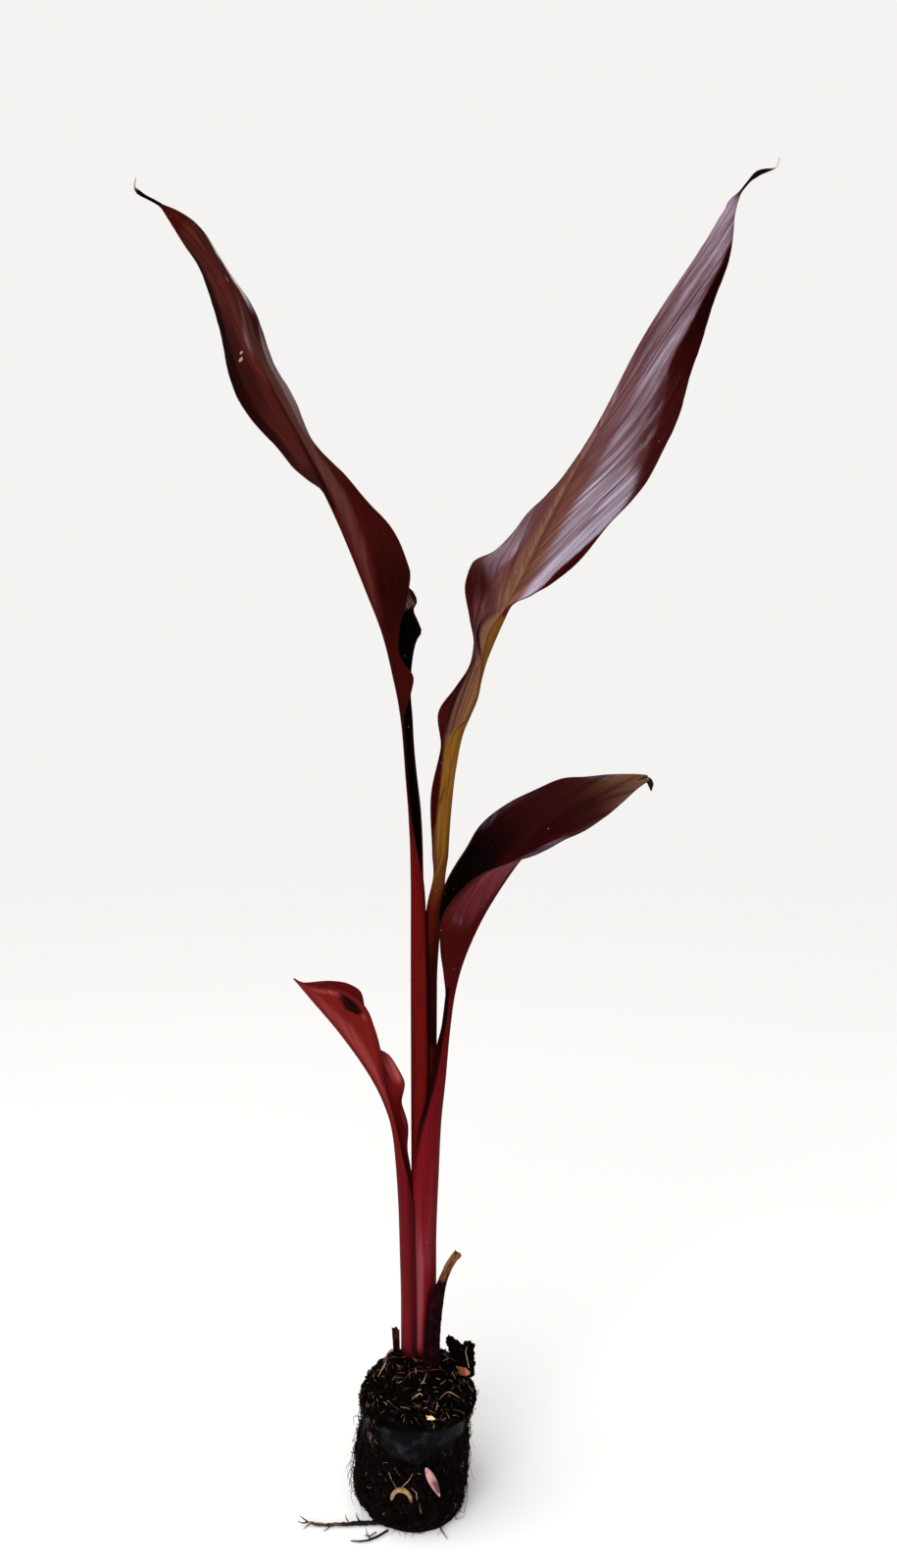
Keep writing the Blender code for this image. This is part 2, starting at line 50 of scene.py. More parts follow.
# The four leaves, lowest first: "opens" is the side that the leaf is open to, "free" is where its sheath ends
LOWEST_LEAF = {
    "opens": 1,
    "free": 92,
    "keel": [(-7.3, 8, FOOT), (-7.3, 8, 91), (-7.8, 7.6, 118), (-8.3, 6.9, 138), (-10.1, 4.5, 167.5),
        (-11.6, 3.5, 178.5), (-14.6, 2.5, 188.8), (-19.4, 1.3, 199.7), (-32.7, -2.3, 221.3),
        (-54.1, -7.3, 249)],
    "twist": [(0, 0), (85, 0), (110, 8), (150, 18), (198, 25)],
    "front_width": [(0, 11.2), (70, 11), (88, 8.5), (100, 5), (110, 3.6), (120, 3.2), (130, 4), (140, 7.6),
        (150, 11.8), (158, 14.6), (168, 17), (184, 12.6), (193, 5.5), (198, 1)],
    "front_spread": [(0, 90, 0), (85, 90, -20), (106, 60, 10), (130, 30, 10), (150, 22, 10), (185, 22, 14),
        (198, 80, 80)],
    "rear_width": [(0, 10.2), (85, 10.2), (100, 8.4), (112, 10.4), (120, 10), (131, 14.6), (141, 14.2),
        (149, 11), (156, 11.5), (164, 17), (172, 21.2), (178, 19.2), (184, 14.6), (192, 6.2), (198, 1)],
    "rear_spread": [(0, 90, 0), (85, 90, -10), (106, 60, 0), (118, 45, 20), (131, 38, -30), (150, 30, 0),
        (185, 22, 6), (198, 80, 80)],
    "back": [(0, 3.2), (70, 2.8), (100, 2.2), (140, 1.4), (198, 0.7)],
    "edge": [(0, 0.9), (85, 0.8), (110, 0.5), (198, 0.45)],
    "rib": [(0, 9), (80, 8), (110, 3), (150, 1.8), (198, 0.8)],
    "pleat": [(0, 0), (100, 0), (135, 0.2), (180, 0.25), (198, 0)],
    "wave": [(0, 0), (92, 0), (120, 0.4), (180, 0.5), (198, 0)],
    "veins": [(0, 0), (100, 0.02), (130, 0.12), (165, 0.2), (198, 0.1)],
}

RIGHT_LEAF = {
    "opens": -1,
    "free": 158,
    "keel": [(9.3, 8, FOOT), (9.3, 8, 117), (10.7, 8, 158), (11.6, 7.6, 177), (13.8, 6.2, 199.6),
        (15.2, 4.7, 216.5), (17.2, 3.2, 235), (20.1, 2.1, 249), (27.6, -0.9, 270), (39.3, -4.2, 291.3),
        (52.5, -9, 310), (65.4, -12, 321.5), (80.1, -14.8, 329.8), (101.6, -17.5, 339.3)],
    "twist": [(0, 0), (150, 0), (170, -12), (200, -10), (232, -12), (258, -40), (285, -50), (316, -50)],
    "front_width": [(0, 14), (50, 14), (94, 16.9), (113, 15), (126, 12.5), (137, 10.7), (150, 8),
        (162, 5.8), (174, 5.6), (184, 8.5), (196, 14), (208, 18.5), (222, 20), (240, 18.5), (250, 17),
        (260, 14), (270, 12), (280, 11.5), (290, 9.5), (300, 6), (310, 2), (316, 0.8)],
    "front_spread": [(0, 90, -39), (50, 90, -39), (94, 90, -48), (113, 90, -26), (126, 90, -10),
        (137, 90, -12), (160, 60, -20), (180, 20, -5), (205, 15, -5), (222, 28, 15), (240, 38, 42),
        (250, 42, 50), (260, 54, 66), (270, 66, 86), (280, 76, 100), (316, 78, 100)],
    "rear_width": [(0, 12.6), (50, 12.6), (94, 16), (104, 13.5), (113, 11.5), (126, 8.5), (137, 5.5),
        (150, 4.5), (174, 4.5), (186, 9), (198, 15), (210, 21), (222, 24), (240, 25.5), (260, 21.5),
        (270, 18.7), (280, 16.8), (290, 12.2), (300, 8.6), (310, 4.3), (316, 0.8)],
    "rear_spread": [(0, 90, -27), (50, 90, -27), (94, 90, -42), (104, 90, -20), (113, 90, -2),
        (126, 90, 20), (137, 85, 30), (150, 75, 10), (180, 28, 10), (205, 30, 15), (240, 55, 35),
        (285, 85, 70), (316, 85, 70)],
    "back": [(0, 1.7), (120, 1.8), (160, 2.2), (200, 1.8), (260, 1.2), (316, 0.7)],
    "edge": [(0, 0.8), (94, 0.7), (150, 0.7), (190, 0.5), (316, 0.45)],
    "rib": [(0, 8), (130, 7), (180, 3), (240, 1.8), (316, 0.8)],
    "pleat": [(0, 0), (180, 0), (215, 0.25), (290, 0.25), (316, 0)],
    "wave": [(0, 0), (160, 0), (200, 0.5), (290, 0.6), (316, 0)],
    "veins": [(0, 0), (160, 0.02), (210, 0.22), (260, 0.24), (290, 0.12), (316, 0.05)],
}

LEFT_TOP_LEAF = {
    "opens": 1,
    "free": 232,
    "keel": [(-2.1, 8, FOOT), (-2.1, 8, 115), (-2.3, 8, 158), (-2.4, 8, 245), (-2.2, 6.6, 300),
        (-2.6, 5.5, 323), (-3.8, 5, 340), (-5.6, 3.2, 362), (-10.2, 1.4, 385), (-14.4, 0, 402.6),
        (-21.5, -2, 422), (-36.4, -6, 459), (-48.8, -8, 483.7), (-60.6, -9.7, 505), (-71.8, -11.5, 527.3),
        (-77.9, -13.2, 545), (-86.1, -14.7, 560), (-96, -16, 573), (-105.9, -16.8, 580.2),
        (-116.2, -17.6, 587.4), (-115.4, -18, 590.6)],
    "twist": [(0, 0), (215, 0), (240, -15), (270, -45), (300, -40), (316, -10), (345, 5), (370, 28),
        (400, 64), (428, 93), (452, 101), (496, 94), (558, 90)],
    "front_width": [(0, 9.8), (55, 9.8), (94, 11), (140, 12.2), (182, 12.2), (208, 10.2), (226, 9),
        (240, 6), (258, 3.8), (276, 2.8), (300, 4), (308, 8.4), (313, 10.2), (318, 11.8), (321, 10.8),
        (324, 8.4), (330, 7), (340, 10), (350, 17), (362, 22), (385, 21.5), (430, 20), (456, 21.8),
        (472, 21.5), (488, 17), (504, 12), (520, 8.6), (532, 4.1), (538, 1.9), (542, 0.75), (547, 0.65),
        (551, 0.95), (554.5, 0.3), (558, 0.14)],
    "front_spread": [(0, 90, -30), (140, 90, -25), (182, 90, -25), (208, 90, -32), (226, 90, -50),
        (240, 90, -30), (276, 80, 0), (305, 50, 0), (335, 34, 20), (370, 32, 22), (400, 20, 10),
        (428, 24, 14), (452, 32, 22), (515, 28, 22), (532, 50, 40), (544, 90, 80), (558, 90, 90)],
    "rear_width": [(0, 9.8), (55, 9.8), (94, 10.4), (113, 10.6), (140, 12.2), (182, 12.2), (208, 10.2),
        (226, 8.2), (260, 6.8), (290, 5), (306, 6), (318, 9), (328, 12.8), (333, 16), (336.5, 20),
        (344.5, 19.8), (348, 24.4), (352, 25), (356, 23.4), (400, 23), (430, 22), (456, 24), (472, 24.5),
        (488, 21), (504, 15.5), (520, 11.4), (532, 5.6), (538, 2.3), (542, 0.75), (547, 0.65), (551, 0.9),
        (554.5, 0.3), (558, 0.14)],
    "rear_spread": [(0, 90, -30), (140, 90, -25), (182, 90, -25), (208, 90, -32), (226, 90, -55),
        (260, 90, -40), (300, 70, 0), (320, 40, 10), (370, 32, 18), (400, 20, 10), (428, 24, 12),
        (452, 32, 18), (515, 28, 20), (532, 50, 40), (544, 90, 80), (558, 90, 90)],
    "back": [(0, 2.2), (182, 2.4), (232, 2), (300, 2.2), (360, 1.6), (480, 1.2), (544, 0.6), (552, 0.5),
        (555, 0.24), (558, 0.14)],
    "edge": [(0, 0.6), (230, 0.7), (300, 0.6), (345, 0.5), (520, 0.45), (552, 0.4), (555, 0.2),
        (558, 0.12)],
    "rib": [(0, 8), (225, 6), (290, 3), (350, 2.4), (480, 1.6), (558, 0.5)],
    "pleat": [(0, 0), (320, 0), (360, 0.28), (500, 0.25), (540, 0)],
    "wave": [(0, 0), (300, 0), (340, 0.5), (500, 0.7), (545, 0)],
    "veins": [(0, 0), (230, 0), (345, 0.18), (400, 0.2), (480, 0.12), (558, 0.08)],
}

RIGHT_TOP_LEAF = {
    "opens": -1,
    "free": 224,
    "keel": [(7.1, 8, FOOT), (7.1, 8, 117), (8.6, 8, 158), (9.5, 8, 200), (9.8, 8, 245), (11.6, 8, 272),
        (13.4, 8, 290.4), (14.8, 8, 316.5), (18.8, 8, 349.6), (21.9, 8, 362.9), (31.2, 8, 389.9),
        (42.1, 8, 415.8), (51.4, 9.5, 437), (64.7, 11.4, 463.4), (85.9, 14, 500.5), (104.6, 17, 536.4),
        (131.3, 20.5, 577.8), (147.4, 22.7, 603.2), (155.4, 23.4, 611.4), (163.4, 23.7, 614),
        (164.8, 24, 618.2)],
    "twist": [(0, 0), (226, 0), (240, -40), (320, -45), (348, -55), (365, -75), (380, -88), (598, -92)],
    "front_width": [(0, 5), (226, 7), (248, 7.5), (262, 6.5), (274, 5), (286, 7.5), (298, 9), (312, 8.5),
        (326, 8), (340, 9), (354, 6.5), (364, 9), (372, 13.5), (386, 20.2), (400, 24), (428, 30.5),
        (446, 33), (470, 31.4), (484, 29.5), (512, 22), (540, 13.7), (554, 7.8), (563, 3.2), (572, 0.55),
        (577, 0.6), (582, 1.25), (586, 0.95), (590.5, 0.22), (598, 0.12)],
    "front_spread": [(0, 90, -40), (226, 90, -40), (262, 90, -45), (286, 90, -70), (294, 85, -50),
        (302, 85, 20), (312, 90, 40), (322, 75, 20), (332, 52, -10), (342, 48, -30), (354, 50, 0),
        (364, 80, 75), (378, 88, 112), (430, 84, 128), (500, 84, 132), (560, 88, 120), (598, 90, 90)],
    "rear_width": [(0, 5), (226, 7), (240, 7.5), (266, 10), (286, 8.5), (301, 13.5), (313, 9.5), (325, 7),
        (334, 8.5), (344, 14.5), (358, 22.5), (372, 23.5), (386, 25.5), (409, 28), (454, 30), (492, 25),
        (518, 18), (542, 10), (558, 5), (572, 0.55), (577, 0.6), (582, 1.15), (586, 0.9), (590.5, 0.22),
        (598, 0.12)],
    "rear_spread": [(0, 90, -40), (226, 90, -40), (240, 90, 0), (266, 80, 0), (301, 80, 5), (320, 80, 0),
        (342, 80, 20), (355, 68, 40), (366, 92, 76), (380, 132, 146), (409, 156, 174), (432, 170, 188),
        (454, 178, 198), (520, 180, 204), (560, 184, 206), (572, 90, 90), (598, 90, 90)],
    "back": [(0, 1.2), (226, 2.6), (348, 2.4), (380, 1.8), (492, 1.2), (572, 0.6), (587, 0.5), (591, 0.26),
        (598, 0.16)],
    "edge": [(0, 0.6), (226, 0.8), (300, 0.6), (380, 0.5), (560, 0.45), (587, 0.35), (591, 0.22),
        (598, 0.14)],
    "rib": [(0, 3), (226, 4.5), (340, 3.6), (372, 2.4), (492, 1.6), (598, 0.5)],
    "pleat": [(0, 0), (345, 0), (372, 0.3), (540, 0.25), (570, 0)],
    "wave": [(0, 0), (240, 0), (380, 0.6), (540, 0.6), (570, 0)],
    "veins": [(0, 0), (230, 0), (300, 0.03), (345, 0.2), (370, 0.36), (405, 0.34), (440, 0.24), (475, 0.09),
        (530, 0.03), (598, 0.05)],
}
STALK_RADII = [(0, 2.9), (52, 2.9), (94, 3.6), (136, 4.2), (180, 4.2), (208, 3.7), (224, 3.6)]

# Fineness of the leaves: steps along the keel, and columns across each half, which crowd towards the keel
STATION = 1.7
FINE_STEPS = 160
HALF_COLUMNS = 27
COLUMN_CROWDING = 1.3

# The section of a leaf: how its back rounds over and swells, and how tightly its wall may fold
KEEL_ROUNDING = 1.1
KEEL_SWELL = 0.35
SWELL_WIDTH = 1.2
TIGHTEST_FOLD = 0.65
FOLDED_GAP = 0.04
VEIN_SLOPE = 2.6
HALF_WAYS = {"front": -1, "rear": 1}
HALF_STARTS = {"front": 0.0, "rear": 17.0}
# The fine folds between veins: height, length and start of each of the waves that they are made of
FOLDS = [(0.5, 2.3, 0.0), (0.35, 1.31, 1.0), (0.3, 4.7, 2.0)]
WAVE_LENGTH = 6.1

# The youngest leaf's roll inside the sheaths, and where it opens
ROLL_ANGLE = math.radians(172)
ROLL_WALL = 0.6
UNROLLING = (212.0, 236.0)

# The tones that are painted along a leaf, and how softly a streak, the foot and the sheath end
STREAK_END = 2.5
DUSKY_FOOT = (1.0, 13.0)
SHEATH_FADE = (10, 45)
# Dark and shade: painted shade in folds, channels, under blades and where a blade turns away, and the own
# dark of dead tips.
# Gold and glint: the own golden colour of stalks and midribs, and on the maroon leaf a painted white glint
# along an edge near its tip.
# Sheen and pale: painted sheen and highlights on the blades, and the own pale colour of dry tips.
# The tint: a painted highlight on the crimson, purple and maroon leaves, over their own lighter tone, and
# painted shade on the sheeny leaf.
TONES = ("sheen_and_pale", "gold_and_glint", "dark_and_shade", "tint_highlight_and_shade", "tan")
SCAR = (158, 124, 94)
DUST = (170, 130, 118)


def follow(keys, at):
    """Values along a leaf at many places, on smooth lines through the keys that never swing past them."""
    keys = np.array(keys, float)
    at = np.clip(np.asarray(at, float), keys[0, 0], keys[-1, 0])
    stops, values = keys[:, 0], keys[:, 1:]
    span = np.diff(stops)
    slope = np.diff(values, axis=0) / span[:, None]
    before, after = slope[:-1], slope[1:]
    same_way = before * after > 0
    total = np.where(same_way, before + after, 1.0)
    middle = np.where(same_way, 2 * before * after / total, 0.0)
    tangent = np.concatenate([slope[:1], middle, slope[-1:]])
    i = np.clip(np.searchsorted(stops, at, side="right") - 1, 0, len(span) - 1)
    t = ((at - stops[i]) / span[i])[..., None]
    gap = span[i][..., None]
    rise = 3 * t**2 - 2 * t**3
    straight = values[i] * (1 - rise) + values[i + 1] * rise
    return straight + tangent[i] * gap * (t - 2 * t**2 + t**3) + tangent[i + 1] * gap * (t**3 - t**2)


def at_height(keys, height):
    """The one value that the keys give at a height."""
    return float(follow(keys, height)[0])


def running(steps):
    """How far along each place is, from the steps between the places."""
    return np.concatenate([[0.0], np.cumsum(steps)])


def length_keys(points):
    """The points with their distance along the line in front of each."""
    points = np.array(points, float)
    return np.column_stack([running(np.linalg.norm(np.diff(points, axis=0), axis=1)), points])


def soft_step(low, high, value):
    """0 below low and 1 above high, with a soft rise between them."""
    t = np.clip((value - low) / (high - low), 0.0, 1.0)
    return t * t * (3 - 2 * t)


def hill(value, centre, width):
    """1 at the centre, and softly down to 0 a few widths away."""
    return np.exp(-(((value - centre) / width) ** 2))


def unit(vectors):
    return vectors / np.maximum(np.linalg.norm(vectors, axis=-1, keepdims=True), 1e-12)


def direction(keys, at, reach):
    """The way a line runs at many places, from a little before each to a little after it."""
    after = follow(keys, np.minimum(at + reach, keys[-1, 0]))
    return unit(after - follow(keys, np.maximum(at - reach, 0.0)))


def round_turns(count):
    return np.linspace(0, 2 * math.pi, count, endpoint=False)


def frames(leaf, keel, at):
    """Keel points, the direction that the leaf opens in and the far side's direction, at many places."""
    along = direction(keel, at, reach=1.5)
    far = np.array([0.0, 1.0, 0.0])
    far = unit(far - along * (along @ far)[:, None])
    opening = leaf["opens"] * np.cross(far, along)
    turn = np.radians(follow(leaf["twist"], at))
    turned = np.cos(turn) * opening + np.sin(turn) * far
    return follow(keel, at), turned, np.cos(turn) * far - np.sin(turn) * opening


def half(leaf, side, at):
    """One half of a leaf: outer and inner surface as (opening, side), then how far and what share across."""
    share = np.linspace(0.0, 1.0, FINE_STEPS + 1)[None, :]
    width = follow(leaf[side + "_width"], at)
    first, last = np.radians(follow(leaf[side + "_spread"], at)).T[..., None]
    back, edge, rib, pleat, wave = (follow(leaf[key], at) for key in ("back", "edge", "rib", "pleat", "wave"))
    out = share * width
    heading = first + (last - first) * share
    heading = heading + (math.pi / 2 - heading) * hill(out, 0.0, KEEL_ROUNDING)
    middle = (heading[:, 1:] + heading[:, :-1]) / 2
    steps = np.stack([np.cos(middle), np.sin(middle)], axis=-1) * (width / FINE_STEPS)[..., None]
    line = np.pad(np.cumsum(steps, axis=1), ((0, 0), (1, 0), (0, 0)))
    inwards = np.stack([np.sin(heading), -np.cos(heading)], axis=-1)
    wall = edge + (back - edge) * hill(out, 0.0, rib)
    tight_wall = np.minimum(wall, TIGHTEST_FOLD * width / np.maximum(first - last, 1e-3))
    wall = np.where(last < first, tight_wall, wall)
    vein = at[:, None] + HALF_STARTS[side] - VEIN_SLOPE * out
    folds = sum(height * np.sin(vein / length + start) for height, length, start in FOLDS)
    lift = pleat * folds * soft_step(0.03, 0.3, share) * (1 - 0.6 * soft_step(0.8, 1.0, share))
    lift = lift + wave * share**2 * np.sin(at[:, None] / WAVE_LENGTH + HALF_STARTS[side])
    keel_swell = KEEL_SWELL * soft_step(0.0, 0.3, pleat) * hill(out, 0.0, SWELL_WIDTH)
    outer = line + inwards * (lift - keel_swell)[..., None]
    inner = line + inwards * (lift + wall)[..., None]
    folded = first < math.radians(89)
    inner[..., 1] = np.where(folded, np.maximum(inner[..., 1], FOLDED_GAP), inner[..., 1])
    columns = np.linspace(0.0, 1.0, HALF_COLUMNS + 1) ** COLUMN_CROWDING
    picks = np.round(columns * FINE_STEPS).astype(int)
    return [block[:, picks] for block in (outer, inner, out, np.broadcast_to(share, out.shape))]


def leaf_surface(leaf):
    """Points, normals and leaf places of a whole leaf, from its foot to its tip, ring by ring."""
    keel = length_keys(leaf["keel"])
    end = keel[-1, 0]
    at = np.unique(np.append(np.linspace(0.0, end, round(end / STATION) + 1), leaf["free"]))
    point, opening, far = (block[:, None] for block in frames(leaf, keel, at))
    shells = {}
    for side, way in HALF_WAYS.items():
        outer, inner, out, share = half(leaf, side, at)
        for shell, curve in (("outer", outer), ("inner", inner)):
            place = point + curve[..., :1] * opening + way * curve[..., 1:] * far
            shells[side, shell] = (place, way * out, share)
    if leaf is RIGHT_TOP_LEAF:
        roll_up(shells, at, point, opening, far)
    outer = [np.concatenate([front[:, :0:-1], rear], axis=1)
             for front, rear in zip(shells["front", "outer"], shells["rear", "outer"])]
    inner = [np.concatenate([rear[:, ::-1], front[:, 1:]], axis=1)
             for front, rear in zip(shells["front", "inner"], shells["rear", "inner"])]
    inner[0][:, HALF_COLUMNS] = (shells["front", "inner"][0][:, 0] + shells["rear", "inner"][0][:, 0]) / 2
    facing = [unit(np.cross(*np.gradient(block, axis=(1, 0)))) for block in (outer[0], inner[0])]
    rings, across, share = (np.concatenate(blocks, axis=1) for blocks in zip(outer, inner))
    columns = outer[0].shape[1]
    return {
        "at": at,
        "rings": rings,
        "facing": np.concatenate(facing, axis=1),
        "across": across,
        "along": np.repeat(at[:, None], 2 * columns, axis=1),
        "share": share,
        "side": np.repeat([[0.0] * columns + [1.0] * columns], len(at), axis=0),
    }


def roll_up(shells, at, point, opening, far):
    """Closes the youngest leaf to a thin roll inside the sheaths, which opens where its stalk comes free."""
    radius = follow(STALK_RADII, at)[:, :, None]
    unrolled = soft_step(*UNROLLING, at)[:, None, None]
    for (side, shell), (place, out, share) in list(shells.items()):
        angle = share[..., None] * ROLL_ANGLE
        reach = radius if shell == "outer" else radius - ROLL_WALL
        aside = HALF_WAYS[side] * reach * np.sin(angle)
        rolled = point + (radius - reach * np.cos(angle)) * opening + aside * far
        shells[side, shell] = (rolled * (1 - unrolled) + place * unrolled, out, share)


def band(surface, fade, rows):
    """How strongly a streak shows at each place of a leaf. Its rows are (along, from, to, strength)."""
    rows = np.array(rows, float)
    at, across = surface["along"], surface["across"]
    low, high, strength = (np.interp(at, rows[:, 0], rows[:, i]) for i in (1, 2, 3))
    inside = soft_step(-fade / 2, fade / 2, across - low) * soft_step(-fade / 2, fade / 2, high - across)
    end = min(fade, STREAK_END)
    starts = soft_step(rows[0, 0] - end, rows[0, 0] + end, at)
    stops = soft_step(rows[-1, 0] + end, rows[-1, 0] - end, at)
    return strength * inside * starts * stops


def painted(surface, streaks):
    """The leaf's tones, each as strong as the strongest of its streaks. The foot of the sheath is darker."""
    upper = surface["side"]
    shown = {"upper": upper, "under": 1 - upper, "both": 1.0}
    tones = {tone: np.zeros_like(upper) for tone in TONES}
    for tone, side, fade, rows in streaks:
        tones[tone] = np.maximum(tones[tone], shown[side] * band(surface, fade, rows))
    tones["dark_and_shade"] = np.maximum(tones["dark_and_shade"], 1 - soft_step(*DUSKY_FOOT, surface["along"]))
    return tones


def deselect():
    bpy.ops.object.select_all(action="DESELECT")


def add_object(name, data):
    made = bpy.data.objects.new(name, data)
    bpy.context.scene.collection.objects.link(made)
    return made


def name_piece(name):
    """The shape that was just added, under its name and without its texture places."""
    piece = bpy.context.active_object
    piece.name = piece.data.name = name
    while piece.data.uv_layers:
        piece.data.uv_layers.remove(piece.data.uv_layers[0])
    return piece


def numbers(items, key, width=3):
    """What a mesh's points, or one of its attributes, hold under a key: one row for each point."""
    found = np.empty(len(items) * width, np.float32)
    items.foreach_get(key, found)
    return found.reshape(-1, width).astype(float)


def move_points(mesh, places):
    """Puts the mesh's points at places in millimetres."""
    mesh.vertices.foreach_set("co", (places * MM).astype(np.float32).reshape(-1))


def keep_value(mesh, key, values, kind="FLOAT", part="value"):
    """Keeps a value, or something of another kind, at each of the mesh's points."""
    kept = mesh.attributes.new(key, kind, "POINT")
    kept.data.foreach_set(part, np.ascontiguousarray(values, np.float32).reshape(-1))


def settle(piece, paint, node=None):
    """Gives a finished piece its finish, its body and the solid that it stands for."""
    piece.data.materials.clear()
    piece.data.materials.append(paint)
    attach(piece, "root")
    if node:
        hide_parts(node)


def skin(name, rings, values=None, facing=None):
    """A closed skin over rings of points, each ring once round, with values kept at its points."""
    rows, columns = rings.shape[:2]
    deselect()
    bpy.ops.mesh.primitive_grid_add(x_subdivisions=columns, y_subdivisions=rows - 1, size=1)
    piece = name_piece(name)
    mesh = piece.data

    def closing(block):
        return np.concatenate([block, block[:, :1]], axis=1).astype(np.float32)

    move_points(mesh, closing(rings))
    for key, block in (values or {}).items():
        keep_value(mesh, key, closing(block))
    if facing is not None:
        keep_value(mesh, "facing", closing(facing), "FLOAT_VECTOR", "vector")
    bpy.ops.object.mode_set(mode="EDIT")
    bpy.ops.mesh.select_all(action="SELECT")
    bpy.ops.mesh.remove_doubles(threshold=1e-7)
    bpy.ops.mesh.select_mode(type="EDGE")
    bpy.ops.mesh.select_all(action="DESELECT")
    bpy.ops.mesh.select_non_manifold()
    bpy.ops.mesh.fill_holes(sides=0)
    bpy.ops.mesh.select_all(action="SELECT")
    bpy.ops.mesh.normals_make_consistent(inside=False)
    bpy.ops.mesh.select_mode(type="VERT")
    bpy.ops.object.mode_set(mode="OBJECT")
    bpy.ops.object.shade_smooth()
    if facing is not None:
        use_facing(mesh)
    return piece


def use_facing(mesh):
    """Gives the skin the whole leaf's normals, so that no line shows where its sheath meets its stalk."""
    facing = numbers(mesh.attributes["facing"].data, "vector")
    if (numbers(mesh.vertices, "normal") * facing).sum() < 0:
        facing = -facing
    side = numbers(mesh.attributes["side"].data, "value", 1)[:, 0]
    normals = np.empty((len(mesh.loops), 3), np.float32)
    for face in mesh.polygons:
        corners = list(face.vertices)
        rim = len(corners) > 4 or np.ptp(side[corners]) > 0.5
        normals[list(face.loop_indices)] = face.normal if rim else facing[corners]
    mesh.normals_split_custom_set(normals)
    mesh.attributes.remove(mesh.attributes["facing"])


class Signal:
    """One value that a material works with. Sums and products of signals add the nodes that work them out."""

    def __init__(self, paint, socket):
        self.paint, self.socket = paint, socket

    def worked_out(self, operation, *values):
        return self.paint.node("ShaderNodeMath", {"operation": operation}, dict(enumerate(values)))

    def __add__(self, other):
        return self.worked_out("ADD", self, other)

    def __sub__(self, other):
        return self.worked_out("SUBTRACT", self, other)

    def __rsub__(self, other):
        return self.worked_out("SUBTRACT", other, self)

    def __mul__(self, other):
        return self.worked_out("MULTIPLY", self, other)

    def __truediv__(self, other):
        return self.worked_out("DIVIDE", self, other)

    def __pow__(self, other):
        return self.worked_out("POWER", self, other)

    __radd__, __rmul__ = __add__, __mul__

    def sine(self):
        return self.worked_out("SINE", self)

    def step(self, low, high):
        """0 below low and 1 above high, or the other way round where low is the larger."""
        limits = {"Value": self, "From Min": low, "From Max": high}
        return self.paint.node("ShaderNodeMapRange", {"interpolation_type": "SMOOTHSTEP"}, limits)


class Paint:
    """The nodes of one material."""

    def __init__(self, name):
        self.material = bpy.data.materials.new(name)
        self.material.use_nodes = True
        self.tree = self.material.node_tree

    def plug(self, socket, value):
        if isinstance(value, Signal):
            self.tree.links.new(value.socket, socket)
        else:
            socket.default_value = value

    def node(self, kind, settings=None, values=None, output=0):
        made = self.tree.nodes.new(kind)
        for key, value in (settings or {}).items():
            setattr(made, key, value)
        for key, value in (values or {}).items():
            self.plug(made.inputs[key], value)
        return Signal(self, made.outputs[output])

    def kept(self, name):
        """A value that the piece keeps at its points."""
        return self.node("ShaderNodeAttribute", {"attribute_name": name}, output="Fac")

    def place(self):
        return self.node("ShaderNodeTexCoord", output="Object")

    def place_x(self):
        return self.node("ShaderNodeSeparateXYZ", None, {0: self.place()})

    def noise(self, vector, scale, detail=3.0, roughness=0.5):
        values = {"Vector": vector, "Scale": scale, "Detail": detail, "Roughness": roughness}
        return self.node("ShaderNodeTexNoise", None, values)

    def vector(self, x, y, z):
        return self.node("ShaderNodeCombineXYZ", None, {0: x, 1: y, 2: z})

    def mix(self, share, first, second, blend="MIX"):
        """First colour where share is 0, second where it is 1. A plain colour is three shades out of 255."""
        first, second = (pigment(*side) if isinstance(side, tuple) else side for side in (first, second))
        settings = {"data_type": "RGBA", "blend_type": blend, "clamp_factor": True}
        return self.node("ShaderNodeMix", settings, {0: share, 6: first, 7: second}, output=2)

    def bump(self, height, depth, strength):
        return self.node("ShaderNodeBump", None, {"Height": height, "Distance": depth, "Strength": strength})

    def finish(self, **values):
        for key, value in values.items():
            self.plug(self.tree.nodes["Principled BSDF"].inputs[key.replace("_", " ")], value)
        return self.material


def pigment(red, green, blue):
    """A colour from how bright it looks in each primary, out of 255."""
    shown = np.array([red, green, blue]) / 255.0
    linear = np.where(shown <= 0.04045, shown / 12.92, ((shown + 0.055) / 1.055) ** 2.4)
    return (*linear.tolist(), 1.0)


